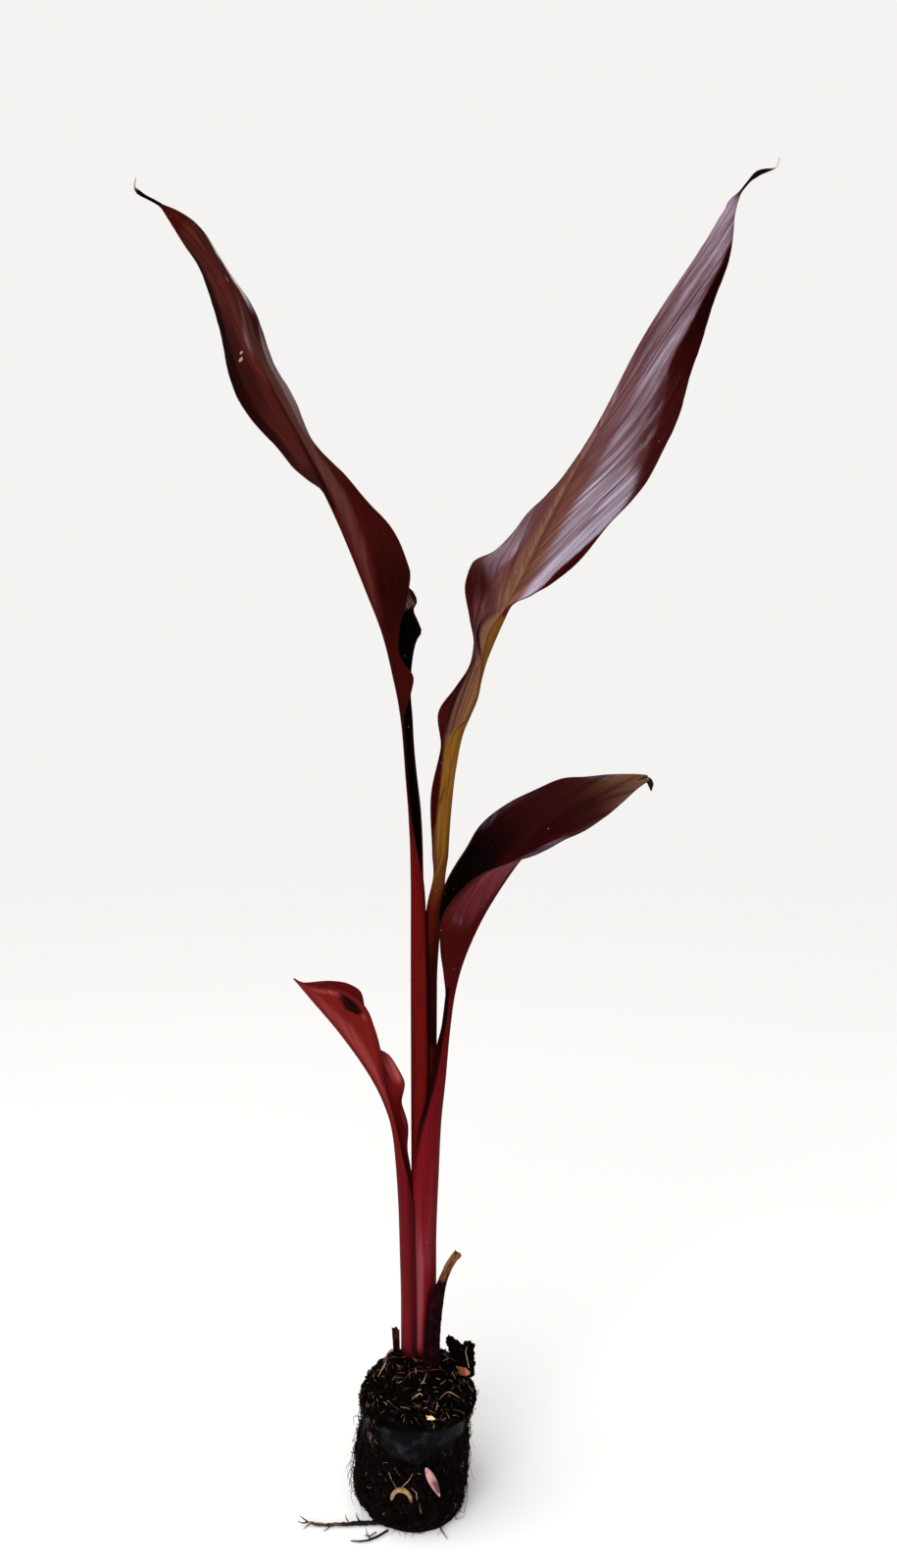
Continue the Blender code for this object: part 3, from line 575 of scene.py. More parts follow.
def leaf_paint(name, colours, gloss, shine, scars=()):
    """A leaf's finish, with painted sheen, highlights and shade among its tones. Its scars are dry spots:
    along, across, and half their length and width.
    """
    paint = Paint(name)
    across, along, share, side = (paint.kept(key) for key in ("across", "along", "share", "side"))
    vein, sheath, dark_and_shade = (paint.kept(key) for key in ("vein", "sheath", "dark_and_shade"))
    blade = 1 - sheath

    def grown(over, length, layer, detail, roughness):
        """Noise drawn out along the leaf, another on each of its sides."""
        return paint.noise(paint.vector(over, along * length, side * layer), 1.0, detail, roughness)

    rows = grown(vein * 1.4, 0.018, 7.0, 3.0, 0.6)
    lines = grown(vein * 3.4, 0.03, 5.0, 2.0, 0.5)
    long_streaks = grown(vein * 0.5, 0.013, 9.0, 4.0, 0.62)
    fibres = grown(across * 1.9, 0.03, 3.0, 3.0, 0.6)
    clouds = paint.noise(paint.place(), 55.0, 4.0, 0.55)
    grain = rows * blade + fibres * sheath
    streaks = (long_streaks - 0.5) * 2.4 + (rows - 0.5) * 1.8 + (lines - 0.5) * 1.5
    colour = paint.mix(sheath, paint.mix(side, colours["under"], colours["upper"]), colours["sheath"])
    raggedness = {
        "gold_and_glint": streaks * 0.5, "tan": streaks * 0.7, "sheen_and_pale": streaks * 1.3 * blade, "tint_highlight_and_shade": streaks * 0.6
    }
    # The tones laid over the colour here include painted sheen, highlights and glints.
    for tone, ragged in raggedness.items():
        colour = paint.mix((paint.kept(tone) * (1 + ragged)).step(0.0, 1.0), colour, colours[tone])
    shade = 0.9 + (grain - 0.5) * 0.75 + (long_streaks - 0.5) * 0.5 + (clouds - 0.5) * 0.3
    # Painted shade: the dark and shade tone darkens the colour here.
    shade = shade * (1 - (dark_and_shade * (1 + streaks * 0.25)).step(0.0, 1.0) * 0.97)
    colour = paint.mix(1.0, colour, paint.vector(shade, shade, shade), "MULTIPLY")
    colour = paint.mix(share.step(0.945, 0.985) * blade * 0.7, colour, colours["margin"])
    for scar_along, scar_across, half_length, half_width in scars:
        far = ((along - scar_along) / half_length) ** 2 + ((across - scar_across) / half_width) ** 2
        spot = (far + (clouds - 0.5) * 2.0).step(1.1, 0.7) * (1 - side)
        colour = paint.mix(spot, colour, SCAR)
    cells = {"Vector": paint.place(), "Scale": 420.0}
    specks = paint.node("ShaderNodeTexVoronoi", {"feature": "F1"}, cells, output="Distance")
    dust = specks.step(0.16, 0.05) * paint.noise(paint.place(), 140.0, 1.0).step(0.64, 0.68)
    colour = paint.mix(dust * 0.5, colour, DUST)
    veins = (vein * 6.5).sine() * blade * share.step(0.02, 0.15)
    height = veins * 0.15 + grain * 0.6 + lines * 0.3 * blade
    roughness = gloss + (clouds - 0.5) * 0.12 + (grain - 0.5) * 0.12 + dark_and_shade * 0.3
    return paint.finish(Base_Color=colour, Roughness=roughness, Normal=paint.bump(height, 0.00025, 0.45),
                        Specular_IOR_Level=shine)


def grow_leaf(leaf, sheath, blade, blade_slot, streaks, paint):
    """Makes a leaf as two pieces that meet where its sheath ends, named for the solids that they replace."""
    surface = leaf_surface(leaf)
    at, free = surface["at"], leaf["free"]
    values = {key: surface[key] for key in ("across", "along", "share", "side")}
    values.update(painted(surface, streaks))
    slope = follow(leaf["veins"], at)[:, 0]
    climb = running((slope[1:] + slope[:-1]) / 2 * np.diff(at))
    values["vein"] = np.abs(surface["across"]) - climb[:, None]
    values["sheath"] = 1 - soft_step(free - SHEATH_FADE[0], free + SHEATH_FADE[1], surface["along"])
    cut = int(np.searchsorted(at, free))
    for node, slot, rows in ((sheath, "sheath", slice(0, cut + 1)), (blade, blade_slot, slice(cut, None))):
        shown = {key: block[rows] for key, block in values.items()}
        piece = skin(node + "_skin", surface["rings"][rows], shown, surface["facing"][rows])
        settle(piece, paint, node)


# Streaks of colour: tone, side, softness of its edges in millimetres, and rows of (along, from, to, strength)
# On the lowest leaf the pink streaks are painted highlights along the keel and on the lobe, and the darkening
# streaks are painted shade under the lobe, in the dark patch, along the keel and on the sheath's right side.
LOWEST_STREAKS = [
    ("tint_highlight_and_shade", "under", 2.5, [(118, -3, -1.5, 0.2), (135, -4, -2, 0.4), (150, -6, -2, 0.45),
        (165, -7, -2, 0.45), (180, -5, -1.5, 0.35), (190, -4, -1, 0.25), (197, -3, -0.5, 0.2)]),
    ("tint_highlight_and_shade", "under", 1.3, [(172, -12.6, -10.8, 0.1), (178, -12.8, -11, 0.4), (181.5, -11.6, -9.6, 0.55),
        (184, -9.6, -7, 0.55), (187, -7, -4.6, 0.5), (191, -4.4, -2.6, 0.35)]),
    ("dark_and_shade", "under", 1.4, [(180, -20, -13.2, 0.35), (184, -14, -10.2, 0.45), (188, -12, -7.2, 0.45),
        (192, -9, -4.4, 0.4), (197, -5, -2, 0.2)]),
    ("dark_and_shade", "under", 1, [(165.5, -13.4, -12.8, 0.5), (167, -14.6, -12, 0.8), (170, -14.8, -10.6, 0.85),
        (173, -14.6, -9.2, 0.85), (176, -14, -10, 0.85), (179, -13.2, -10.8, 0.8),
        (181, -12.2, -11.6, 0.4)]),
    ("tan", "under", 1.4, [(163, -14.6, -12.6, 0.3), (166, -14.6, -12.4, 0.7), (168, -14.2, -12.6, 0.3)]),
    ("dark_and_shade", "under", 2.5, [(106, -9, -4.5, 0.45), (118, -9, -3, 0.3), (128, -9, -3.4, 0.4),
        (136, -10, -4.2, 0.6), (143, -12, -6.6, 0.5), (155, -17, -11.5, 0.3), (166, -20, -15.6, 0.25)]),
    ("dark_and_shade", "under", 1.4, [(96, -1.8, -0.6, 0.3), (118, -1.6, -0.3, 0.55), (150, -1.4, -0.2, 0.5),
        (165, -1.2, 0, 0.2)]),
    ("dark_and_shade", "under", 4, [(165, -17, -11, 0.1), (172, -19, -12, 0.2), (180, -18, -9, 0.2)]),
    ("tint_highlight_and_shade", "upper", 2.4, [(129, 9.5, 20, 0.2), (133, 9.4, 20, 0.8), (138, 9.6, 20, 0.85),
        (142, 10, 20, 0.6), (147, 10, 20, 0.2)]),
    ("tint_highlight_and_shade", "upper", 1.6, [(109, 8, 10, 0.2), (114, 8, 10, 0.45), (119, 7.6, 9.4, 0.3)]),
    ("dark_and_shade", "upper", 3, [(90, 0, 14, 0.5), (104, 1, 12, 0.35), (124, 2, 11, 0.25), (132, 2, 8, 0.1)]),
    ("dark_and_shade", "upper", 3, [(152, 8, 30, 0.2), (165, 12, 30, 0.3), (190, 4, 30, 0.25)]),
    ("dark_and_shade", "under", 3, [(0, -14, -9, 0.8), (30, -14, -8.4, 0.5), (60, -14, -8, 0.5), (85, -13, -7.5, 0.5),
        (100, -9, -5.5, 0.4)]),
]
# On the right leaf the pink streaks on the sheath are painted highlights, the lighter streaks under the blade
# partly painted highlights, the darkening streaks painted shade at its foot, at the sheath's edge and inside
# the folded blade, and the purple streaks on its upper side painted sheen; the tan tip is its own colour.
RIGHT_STREAKS = [
    ("tint_highlight_and_shade", "under", 2.2, [(6, -15.5, -10.5, 0.6), (30, -16, -9.5, 0.85), (50, -16, -9, 0.7),
        (70, -16.5, -11, 0.3), (90, -16, -12, 0.05)]),
    ("tint_highlight_and_shade", "under", 4, [(36, -9, -5, 0.05), (50, -9.5, -4.5, 0.35), (66, -9.5, -4.5, 0.3),
        (100, -8, -4, 0.1)]),
    ("dark_and_shade", "under", 3, [(0, -9.5, 12, 0.95), (20, -9.3, 12, 0.9), (34, -8, 12, 0.7), (44, -5, 12, 0.3),
        (52, -3, 12, 0.05)]),
    ("dark_and_shade", "under", 2.5, [(85, -18, -15, 0.3), (100, -18, -14, 0.6), (113, -17, -12.4, 0.8),
        (126, -15, -10, 0.9), (137, -13, -7.5, 0.9), (152, -9, -4.6, 0.92), (165, -9, -3.2, 0.95),
        (180, -9, -4, 0.9)]),
    ("dark_and_shade", "under", 8, [(104, -18, 4, 0.1), (135, -18, 4, 0.25), (160, -18, 4, 0.4), (185, -18, 4, 0.35),
        (200, -20, 4, 0.3), (212, -22, 4, 0.15), (224, -22, 4, 0)]),
    ("dark_and_shade", "under", 2, [(186, -14, -8, 0.5), (194, -16, -10.5, 0.5), (199, -18, -13, 0.45),
        (208, -21, -16, 0.2)]),
    ("dark_and_shade", "under", 2, [(160, -1.5, 4, 0.4), (185, -1.8, 4, 0.4), (200, -1.8, 4, 0.4),
        (225, -1.6, 3, 0.5), (236, -1.6, 3, 0.6), (247, -1.6, 3, 0.7)]),
    ("tint_highlight_and_shade", "under", 5, [(203, -15, -6, 0.05), (214, -18, -4, 0.3), (225, -18, -3, 0.42),
        (235, -18, -2.5, 0.55), (245, -18, -2.5, 0.6), (258, -18, -1, 0.6)]),
    ("sheen_and_pale", "under", 1.5, [(207, -13, -8, 0.1), (210, -14, -9, 0.5), (213, -15, -11, 0.3)]),
    ("dark_and_shade", "upper", 6, [(150, -30, 30, 1), (205, -30, 30, 1), (222, -30, 30, 0.9), (236, 8, 30, 0.8),
        (246, 8, 24, 0.6), (258, 5, 22, 0.3), (268, 4, 18, 0.1)]),
    ("dark_and_shade", "upper", 4, [(214, 14, 30, 1), (226, 15, 30, 1), (236, 18, 30, 0.9), (243, 20, 30, 0.4)]),
    ("dark_and_shade", "upper", 4, [(240, -6, 3, 0), (252, -6, 3, 0.2), (270, -5, 3, 0.3), (290, -5, 3, 0.3)]),
    ("sheen_and_pale", "upper", 3, [(244, 21.5, 30, 0.3), (250, 21, 30, 0.5), (256, 20.5, 30, 0.45),
        (264, 18.5, 30, 0.25), (272, 16, 30, 0.1)]),
    ("sheen_and_pale", "upper", 3, [(246, -22, -12, 0.3), (256, -22, -11, 0.9), (266, -20, -10.5, 1),
        (272, -18, -10, 0.4)]),
    ("sheen_and_pale", "upper", 2, [(290, 10, 14, 0.3), (294, 9, 13, 0.6), (299, 6, 10, 0.3)]),
    ("tan", "upper", 8, [(276, -22, 22, 0.05), (288, -20, 20, 0.14), (296, -16, 16, 0.28),
        (304, -12, 12, 0.55), (312, -9, 9, 0.75), (318, -8, 8, 0.75)]),
    ("tan", "upper", 2, [(262, -16, -10.5, 0.1), (272, -16, -10, 0.2), (282, -15, -9.5, 0.25),
        (292, -13, -8, 0.3)]),
    ("dark_and_shade", "upper", 3, [(268, -9, -3, 0.1), (280, -8.5, -3, 0.25), (292, -7, -3, 0.2)]),
]
# On the left top leaf the darkening streaks are painted shade inside the sheath and channel, along the keel
# and over the lower blade, and the own dark of its dead tip; the lighter brown streaks are partly its own
# tone and partly painted sheen, the grey ones painted sheen, the white streak near the tip a painted glint,
# and the pale tip its own colour.
LEFT_TOP_STREAKS = [
    ("dark_and_shade", "under", 2.5, [(0, -16, -10, 0.5), (60, -16, -10, 0.5), (100, -16, -9.4, 0.6),
        (120, -16, -10.4, 0.8), (140, -16, -11, 0.92), (182, -16, -10.8, 0.95), (208, -14, -9.6, 0.95),
        (226, -13, -8.6, 0.92), (240, -12, -6.2, 0.85), (258, -10, -3.8, 0.75), (280, -10, -2.8, 0.7),
        (300, -10, -2.8, 0.5), (309, -12, -3, 0.3)]),
    ("dark_and_shade", "under", 4, [(236, -12, 6, 0), (250, -12, 6, 0.35), (275, -12, 6, 0.5), (300, -12, 6, 0.45),
        (318, -12, 2, 0.35)]),
    ("dark_and_shade", "under", 1.6, [(90, -4, -2.6, 0.5), (160, -3.8, -2.4, 0.5), (226, -3.4, -2, 0.4),
        (245, -2, -1, 0.2)]),
    ("dark_and_shade", "under", 5, [(100, -5.5, 2, 0.3), (140, -5.5, 2, 0.4), (165, -5.5, 2, 0.3),
        (185, -5, 2, 0.1)]),
    ("dark_and_shade", "under", 7, [(310, -14, 2, 0.35), (330, -14, 2, 0.45), (345, -26, -2, 0.6),
        (358, -26, -4, 0.65), (372, -26, -7, 0.5), (385, -26, -11, 0.35), (400, -26, -16, 0.25),
        (415, -26, -18, 0.1)]),
    ("dark_and_shade", "upper", 3, [(150, -30, 30, 1), (312, -30, 30, 1), (341, -30, 30, 1), (345, -30, 30, 0.95),
        (347, -20, 8, 0.6), (358, -16, 6, 0.3)]),
    ("sheen_and_pale", "upper", 2.5, [(344.5, 12, 24, 0.1), (347, 12, 22, 0.5), (356, 12, 22, 0.55),
        (366, 14, 30, 0.3)]),
    ("tint_highlight_and_shade", "under", 9, [(392, -14, 14, 0), (420, -14, 16, 0.25), (470, -14, 16, 0.25),
        (500, -12, 18, 0.3), (530, -8, 12, 0.3)]),
    ("dark_and_shade", "under", 7, [(418, 11, 35, 0.3), (435, 12, 35, 0.6), (455, 14, 35, 0.65), (475, 12, 35, 0.75),
        (490, 12, 35, 0.75), (505, 9, 30, 0.7), (515, 8, 30, 0.7), (524, 7, 30, 0.5), (534, 5, 20, 0.3)]),
    ("dark_and_shade", "under", 4, [(408, 0, 30, 0.5), (416, 0, 30, 0.45), (424, 6, 30, 0.2)]),
    ("sheen_and_pale", "under", 1.8, [(468, -1, 1.4, 0.1), (476, -2.4, 0.6, 0.35), (484, -4, -1, 0.4),
        (492, -5.4, -2.6, 0.35), (498, -6, -4, 0.1)]),
    ("sheen_and_pale", "under", 4, [(424, -30, -12, 0.1), (434, -30, -10.5, 0.5), (443, -30, -9.5, 0.8),
        (452, -30, -11, 0.9), (464, -30, -10.5, 0.8), (474, -30, -12, 0.65), (484, -30, -15, 0.3),
        (490, -30, -16, 0.05)]),
    ("tint_highlight_and_shade", "under", 5, [(345, -5, -0.5, 0.2), (365, -6, -1, 0.35), (385, -8, -1.5, 0.45),
        (403, -11, -2, 0.75), (418, -12, -1.5, 0.8), (430, -12, -0.5, 0.75), (445, -12, -1, 0.7),
        (460, -12, -1, 0.65), (475, -12, -1, 0.5), (488, -10, -1, 0.45), (500, -7, 1, 0.3),
        (512, -4, 4, 0.15)]),
    ("gold_and_glint", "under", 1.6, [(488, -30, -11.4, 0.1), (496, -30, -10, 0.6), (505, -30, -8.8, 0.9),
        (514, -30, -8, 0.9), (523, -30, -7.2, 0.6), (530, -30, -7, 0.1)]),
    ("dark_and_shade", "under", 1.5, [(396, -1.2, 0.6, 0.6), (410, -1.3, 0.6, 0.7), (425, -1.4, 0.5, 0.65),
        (440, -1.2, 0.4, 0.5), (455, -0.8, 0.5, 0.35)]),
    ("dark_and_shade", "under", 4, [(438, 9, 30, 0.1), (450, 5, 30, 0.4), (460, 4, 30, 0.5), (480, 4, 30, 0.5),
        (492, 4, 30, 0.3), (505, 4, 30, 0.05)]),
    ("dark_and_shade", "both", 3, [(538, -9, 9, 0.3), (546, -9, 9, 1), (551, -9, 9, 1), (553, -9, 9, 0)]),
    ("sheen_and_pale", "both", 3, [(552, -9, 9, 0.1), (555, -9, 9, 0.9), (560, -9, 9, 0.9)]),
]
LEFT_TOP_SCARS = [(472, 8.6, 0.8, 2.4), (473.8, 6, 0.6, 1.4), (503, -3, 1.6, 0.4)]
# On the right top leaf the pale streaks are painted sheen over the blade, the deep maroon streaks painted
# shade where the blade turns away and along its rolled lower margin, the darkening streaks partly dark veins
# and partly painted shade, with the stalk painted in the shade of the leaf above; the golden and tan streaks
# and the dark claw at the tip are its own colour.
RIGHT_TOP_STREAKS = [
    ("gold_and_glint", "under", 1.6, [(214, -9, 4, 0.1), (226, -9, 4.5, 0.35), (238, -12, 5, 0.75),
        (250, -12, 5.3, 0.95), (280, -12, 5, 1), (300, -12, 4, 1), (350, -12, 3, 1)]),
    ("gold_and_glint", "upper", 2, [(226, -12, 8, 0.35), (236, -12, 8, 0.45), (246, -12, 7.4, 0.62),
        (258, -12, 6.8, 0.8), (266, -12, 6.2, 0.85), (276, -12, 6, 0.9), (286, -12, 7, 0.9),
        (292, -12, 6.4, 0.8), (297, -8, 3, 0.6)]),
    ("gold_and_glint", "upper", 3, [(294, -7, 3, 0.5), (302, -7, 1.5, 0.6), (314, -7, 1, 0.6), (326, -6, 0, 0.4)]),
    ("dark_and_shade", "upper", 1.2, [(256, 5.8, 7.2, 0.3), (262, 4.6, 6.6, 0.55), (268, 2.4, 4.6, 0.5),
        (271, 1.4, 2.8, 0.3)]),
    ("dark_and_shade", "upper", 2, [(272, 4, 7.5, 0.2), (280, 5.4, 8, 0.3), (288, 7, 9, 0.3)]),
    ("tan", "upper", 2.5, [(290, 2, 7, 0.4), (297, -3, 7.5, 0.5), (306, -6, 7.5, 0.55), (316, -6, 7, 0.6),
        (325, -4, 6.4, 0.6), (331, 1, 6, 0.55)]),
    ("dark_and_shade", "upper", 1.8, [(236, 5, 9, 0.25), (250, 5.4, 9, 0.45), (262, 5, 9, 0.4), (272, 5.6, 9, 0.35),
        (284, 6.6, 10, 0.35)]),
    ("dark_and_shade", "upper", 2, [(262, -2, 3, 0.1), (268, 0, 6, 0.28), (276, 0, 6, 0.1)]),
    ("tint_highlight_and_shade", "upper", 1.4, [(252, 6.4, 30, 1), (270, 6, 30, 1), (284, 7, 30, 1), (292, 8, 30, 1),
        (300, 7.4, 30, 0.9), (312, 7.8, 30, 0.9), (326, 7.4, 30, 0.8)]),
    ("tan", "upper", 1, [(330, 0.8, 2.6, 0.9), (334, 0.8, 5, 1), (338, 0.6, 6.9, 1), (343, 0, 7.6, 1),
        (346, -1, 6.4, 1), (349, -2, 4.4, 1), (352, -3, 1.6, 1), (356, -4, -0.4, 0.9), (360, -5, -2, 0.5)]),
    ("tan", "upper", 4, [(350, 0, 5, 0.6), (358, -5, 6, 0.55), (366, -7, 6.5, 0.5), (374, -8.5, 6, 0.5),
        (384, -9, 5, 0.5), (396, -9, 4, 0.4), (408, -8, 2.6, 0.32), (420, -7, 1.8, 0.25),
        (436, -5.5, 1.4, 0.2), (455, -5, 1, 0.15), (480, -4, 1, 0.1)]),
    ("gold_and_glint", "upper", 3, [(350, 0, 3.5, 0.2), (362, -2, 4.5, 0.2), (376, -3.6, 3, 0.15),
        (392, -3.6, 1.6, 0.1)]),
    ("dark_and_shade", "upper", 5, [(348, 4, 20, 0.1), (356, 7, 20, 0.35), (364, 10, 24, 0.4), (372, 14, 24, 0.3),
        (380, 20, 26, 0.1)]),
    ("tint_highlight_and_shade", "upper", 5, [(352, 9, 24, 0.3), (360, 10, 26, 0.75), (366, 14, 26, 0.6), (373, 18, 26, 0.2)]),
    ("tan", "upper", 0.9, [(352, -0.3, 0.9, 0.9), (390, -0.3, 0.8, 0.85), (430, -0.3, 0.7, 0.6),
        (480, -0.3, 0.5, 0.3), (540, -0.3, 0.4, 0.2)]),
    ("tan", "upper", 1.2, [(348, 9.6, 11, 0.35), (356, 10.4, 12, 0.4), (366, 8, 9.2, 0.4),
        (376, 8.6, 10, 0.25)]),
    ("dark_and_shade", "upper", 1.2, [(328, 0, 1.4, 0.6), (332, 3, 5, 0.8), (336, 6, 8, 0.85), (340, 7.8, 9.6, 0.85),
        (344, 8.2, 9.6, 0.75), (348, 6.6, 8.2, 0.6), (352, 3.6, 5.2, 0.5), (356, 1, 2.6, 0.35)]),
    ("dark_and_shade", "upper", 1, [(335, 9.6, 10.8, 0.5), (345, 10.6, 12, 0.6), (355, 12.2, 13.6, 0.55),
        (365, 13.6, 15, 0.35)]),
    ("dark_and_shade", "upper", 1.2, [(292, 4, 5.6, 0.4), (304, 4, 5.6, 0.6), (316, 4, 5.6, 0.6),
        (330, 5, 6.4, 0.6)]),
    ("dark_and_shade", "upper", 1.2, [(292, 6.6, 8.6, 0.5), (306, 6.8, 8.8, 0.75), (316, 6.2, 8, 0.75),
        (328, 6.4, 8, 0.7)]),
    ("dark_and_shade", "upper", 1, [(298, 1.2, 2.4, 0.35), (312, 1.2, 2.4, 0.6), (326, 1.6, 2.8, 0.6)]),
    ("dark_and_shade", "upper", 1, [(298, -1.8, -0.6, 0.35), (314, -1.6, -0.4, 0.5), (326, -1, 0.2, 0.5)]),
    ("dark_and_shade", "upper", 2, [(290, -8, -4, 0.2), (300, -8, -4, 0.4), (312, -8, -4.4, 0.3)]),
    ("dark_and_shade", "upper", 1.8, [(350, 2.6, 3.8, 0.3), (360, 3.6, 5, 0.5), (370, 4.6, 6.4, 0.5),
        (380, 6.6, 8.8, 0.5), (390, 9, 11.4, 0.5), (398, 12, 14.6, 0.5), (406, 16, 18.4, 0.35)]),
    ("dark_and_shade", "upper", 1.8, [(350, 8.2, 10, 0.5), (360, 9, 10.8, 0.45), (370, 11.4, 13.2, 0.4),
        (378, 15, 17, 0.4), (385, 20, 22, 0.3)]),
    ("dark_and_shade", "upper", 1.6, [(356, -1.6, -0.6, 0.3), (375, -2.2, -0.8, 0.4), (400, -2, -0.6, 0.4),
        (430, -1.6, -0.5, 0.3), (470, -1.2, -0.3, 0.2)]),
    ("tint_highlight_and_shade", "upper", 1.6, [(230, 8, 30, 1), (246, 7.6, 30, 1), (258, 7.2, 30, 1), (268, 7, 30, 1),
        (280, 7.4, 30, 1), (290, 8.6, 30, 0.95), (297, 9.6, 30, 0.9)]),
    ("tint_highlight_and_shade", "upper", 3, [(292, 8.6, 30, 0.9), (300, 10.5, 30, 0.9), (308, 10, 30, 0.8),
        (316, 8.5, 30, 0.7), (326, 7.6, 30, 0.6), (336, 10, 30, 0.6), (344, 12.4, 30, 0.8),
        (350, 15, 30, 0.95), (358, 17.4, 30, 0.95), (363, 20, 30, 0.6), (368, 22.5, 30, 0.1)]),
    ("dark_and_shade", "upper", 2, [(348, 20, 30, 0.2), (356, 20, 30, 0.4), (363, 21, 30, 0.4), (368, 23, 30, 0.1)]),
    ("sheen_and_pale", "upper", 4, [(358, 10.5, 14, 0.05), (366, 11, 17, 0.2), (374, 10, 22, 0.3),
        (382, 8, 26, 0.36), (392, 9, 28, 0.3), (400, 12, 28, 0.18), (408, 12, 28, 0.1), (418, 10, 28, 0.05),
        (430, 8, 28, 0.03)]),
    ("sheen_and_pale", "upper", 3, [(466, 6, 12, 0.05), (482, 6, 13, 0.3), (500, 5, 12, 0.32), (516, 4, 9, 0.1)]),
    ("sheen_and_pale", "upper", 1.6, [(368, 14, 16.5, 0.2), (376, 16, 18.6, 0.4), (384, 20, 23, 0.4),
        (390, 23, 26, 0.2)]),
    ("sheen_and_pale", "upper", 1.6, [(374, 9.2, 11.4, 0.3), (384, 11, 13.2, 0.35), (392, 13, 16, 0.35),
        (400, 16, 19.6, 0.3), (406, 20, 24, 0.2)]),
    ("sheen_and_pale", "upper", 4, [(358, -7.6, -4.6, 0.3), (364, -9, -5, 0.65), (370, -11.5, -6, 0.75),
        (376, -14.5, -8, 0.8), (384, -17.4, -10, 0.85), (392, -21.5, -12.5, 1), (400, -25, -15, 1),
        (410, -28.4, -17, 1), (420, -29, -18, 1), (428, -28, -19, 0.9), (434, -28, -20.5, 0.7),
        (440, -27, -21.5, 0.3), (444, -26, -24, 0.1)]),
    ("sheen_and_pale", "upper", 6, [(368, -10, -4, 0.2), (380, -14, -6, 0.38), (392, -18, -6.5, 0.45),
        (404, -22, -7, 0.5), (416, -24, -7.5, 0.5), (428, -24, -8, 0.45), (440, -22, -7, 0.38),
        (452, -19.5, -6, 0.32), (464, -18, -5.5, 0.34), (475, -15.5, -5, 0.4), (485, -15, -4, 0.42),
        (500, -14, -3, 0.4), (515, -13, -2, 0.36), (525, -12, 3, 0.36), (540, -10, 3, 0.42),
        (552, -8, 3, 0.46), (562, -6, 3, 0.46), (570, -3, 3, 0.3)]),
    ("sheen_and_pale", "upper", 6, [(430, -8, 3, 0.1), (450, -8, 3, 0.14), (480, -8, 3, 0.22), (510, -8, 3, 0.26),
        (530, -8, 3, 0.3)]),
    ("sheen_and_pale", "upper", 2.5, [(462, -12.5, -9.5, 0.1), (474, -13, -9.4, 0.45), (486, -13.2, -9, 0.52),
        (500, -12.8, -9, 0.5), (515, -12, -9, 0.4), (526, -11, -8, 0.2)]),
    ("sheen_and_pale", "upper", 1.4, [(440, -20.5, -18.5, 0.15), (450, -22.5, -20.6, 0.45), (462, -24.5, -22.8, 0.4),
        (470, -25.5, -24, 0.1)]),
    ("sheen_and_pale", "upper", 1.4, [(448, -16.5, -14.5, 0.15), (460, -19.5, -17.5, 0.5), (470, -21, -19.4, 0.45),
        (476, -22, -20.6, 0.15)]),
    ("tint_highlight_and_shade", "upper", 4, [(440, -25, -16, 0.1), (450, -24, -16.5, 0.4), (462, -22, -16, 0.5),
        (474, -20, -14.6, 0.5), (482, -17, -14, 0.5)]),
    ("tint_highlight_and_shade", "upper", 5, [(414, -45, -31, 0.4), (424, -45, -30, 0.6), (432, -45, -28.5, 0.75),
        (440, -45, -27, 0.85), (448, -45, -25, 0.85), (456, -45, -23, 0.85), (465, -45, -21, 0.85),
        (475, -45, -18.5, 0.9), (484, -45, -16, 0.95), (492, -45, -14.5, 1)]),
    ("tint_highlight_and_shade", "upper", 1.6, [(482, -45, -16, 0.8), (492, -45, -14.5, 1.1), (505, -45, -14.1, 1.3),
        (518, -45, -13, 1.5), (530, -45, -11.6, 1.5), (540, -45, -10.4, 1.5), (546, -45, -9, 1.4),
        (550, -45, -8.2, 0.5)]),
    ("dark_and_shade", "upper", 2.5, [(450, -45, -28, 0.1), (470, -45, -25, 0.2), (484, -45, -16, 0.3),
        (495, -45, -14.4, 0.45), (515, -45, -13, 0.65), (530, -45, -12, 0.75), (545, -45, -9.6, 0.75),
        (549, -45, -9, 0.3)]),
    ("tint_highlight_and_shade", "upper", 1.4, [(352, -14, -6.2, 0.4), (357, -16, -6.9, 0.9), (366, -20, -9.6, 1.6),
        (380, -26, -14.2, 1.8), (392, -30, -19, 1.8), (400, -34, -22.2, 1.8), (408, -36, -25.6, 1.6),
        (416, -38, -29, 1), (424, -38, -30, 0.4)]),
    ("dark_and_shade", "upper", 1.6, [(357, -16, -8.6, 0.3), (366, -20, -11, 0.5), (380, -26, -15, 0.6),
        (392, -30, -20.5, 0.5), (400, -34, -23.8, 0.5), (408, -36, -26.5, 0.3)]),
    ("dark_and_shade", "both", 3, [(566, -9, 9, 0.2), (574, -9, 9, 0.95), (586, -9, 9, 1), (590, -9, 9, 0.2)]),
    ("sheen_and_pale", "both", 3, [(589, -9, 9, 0.2), (591, -9, 9, 0.9), (600, -9, 9, 0.9)]),
    ("dark_and_shade", "under", 5, [(150, -9, 9, 0.75), (190, -9, 9, 0.6), (205, -9, 9, 0.35), (222, -9, 9, 0.1),
        (232, -9, 9, 0)]),
]

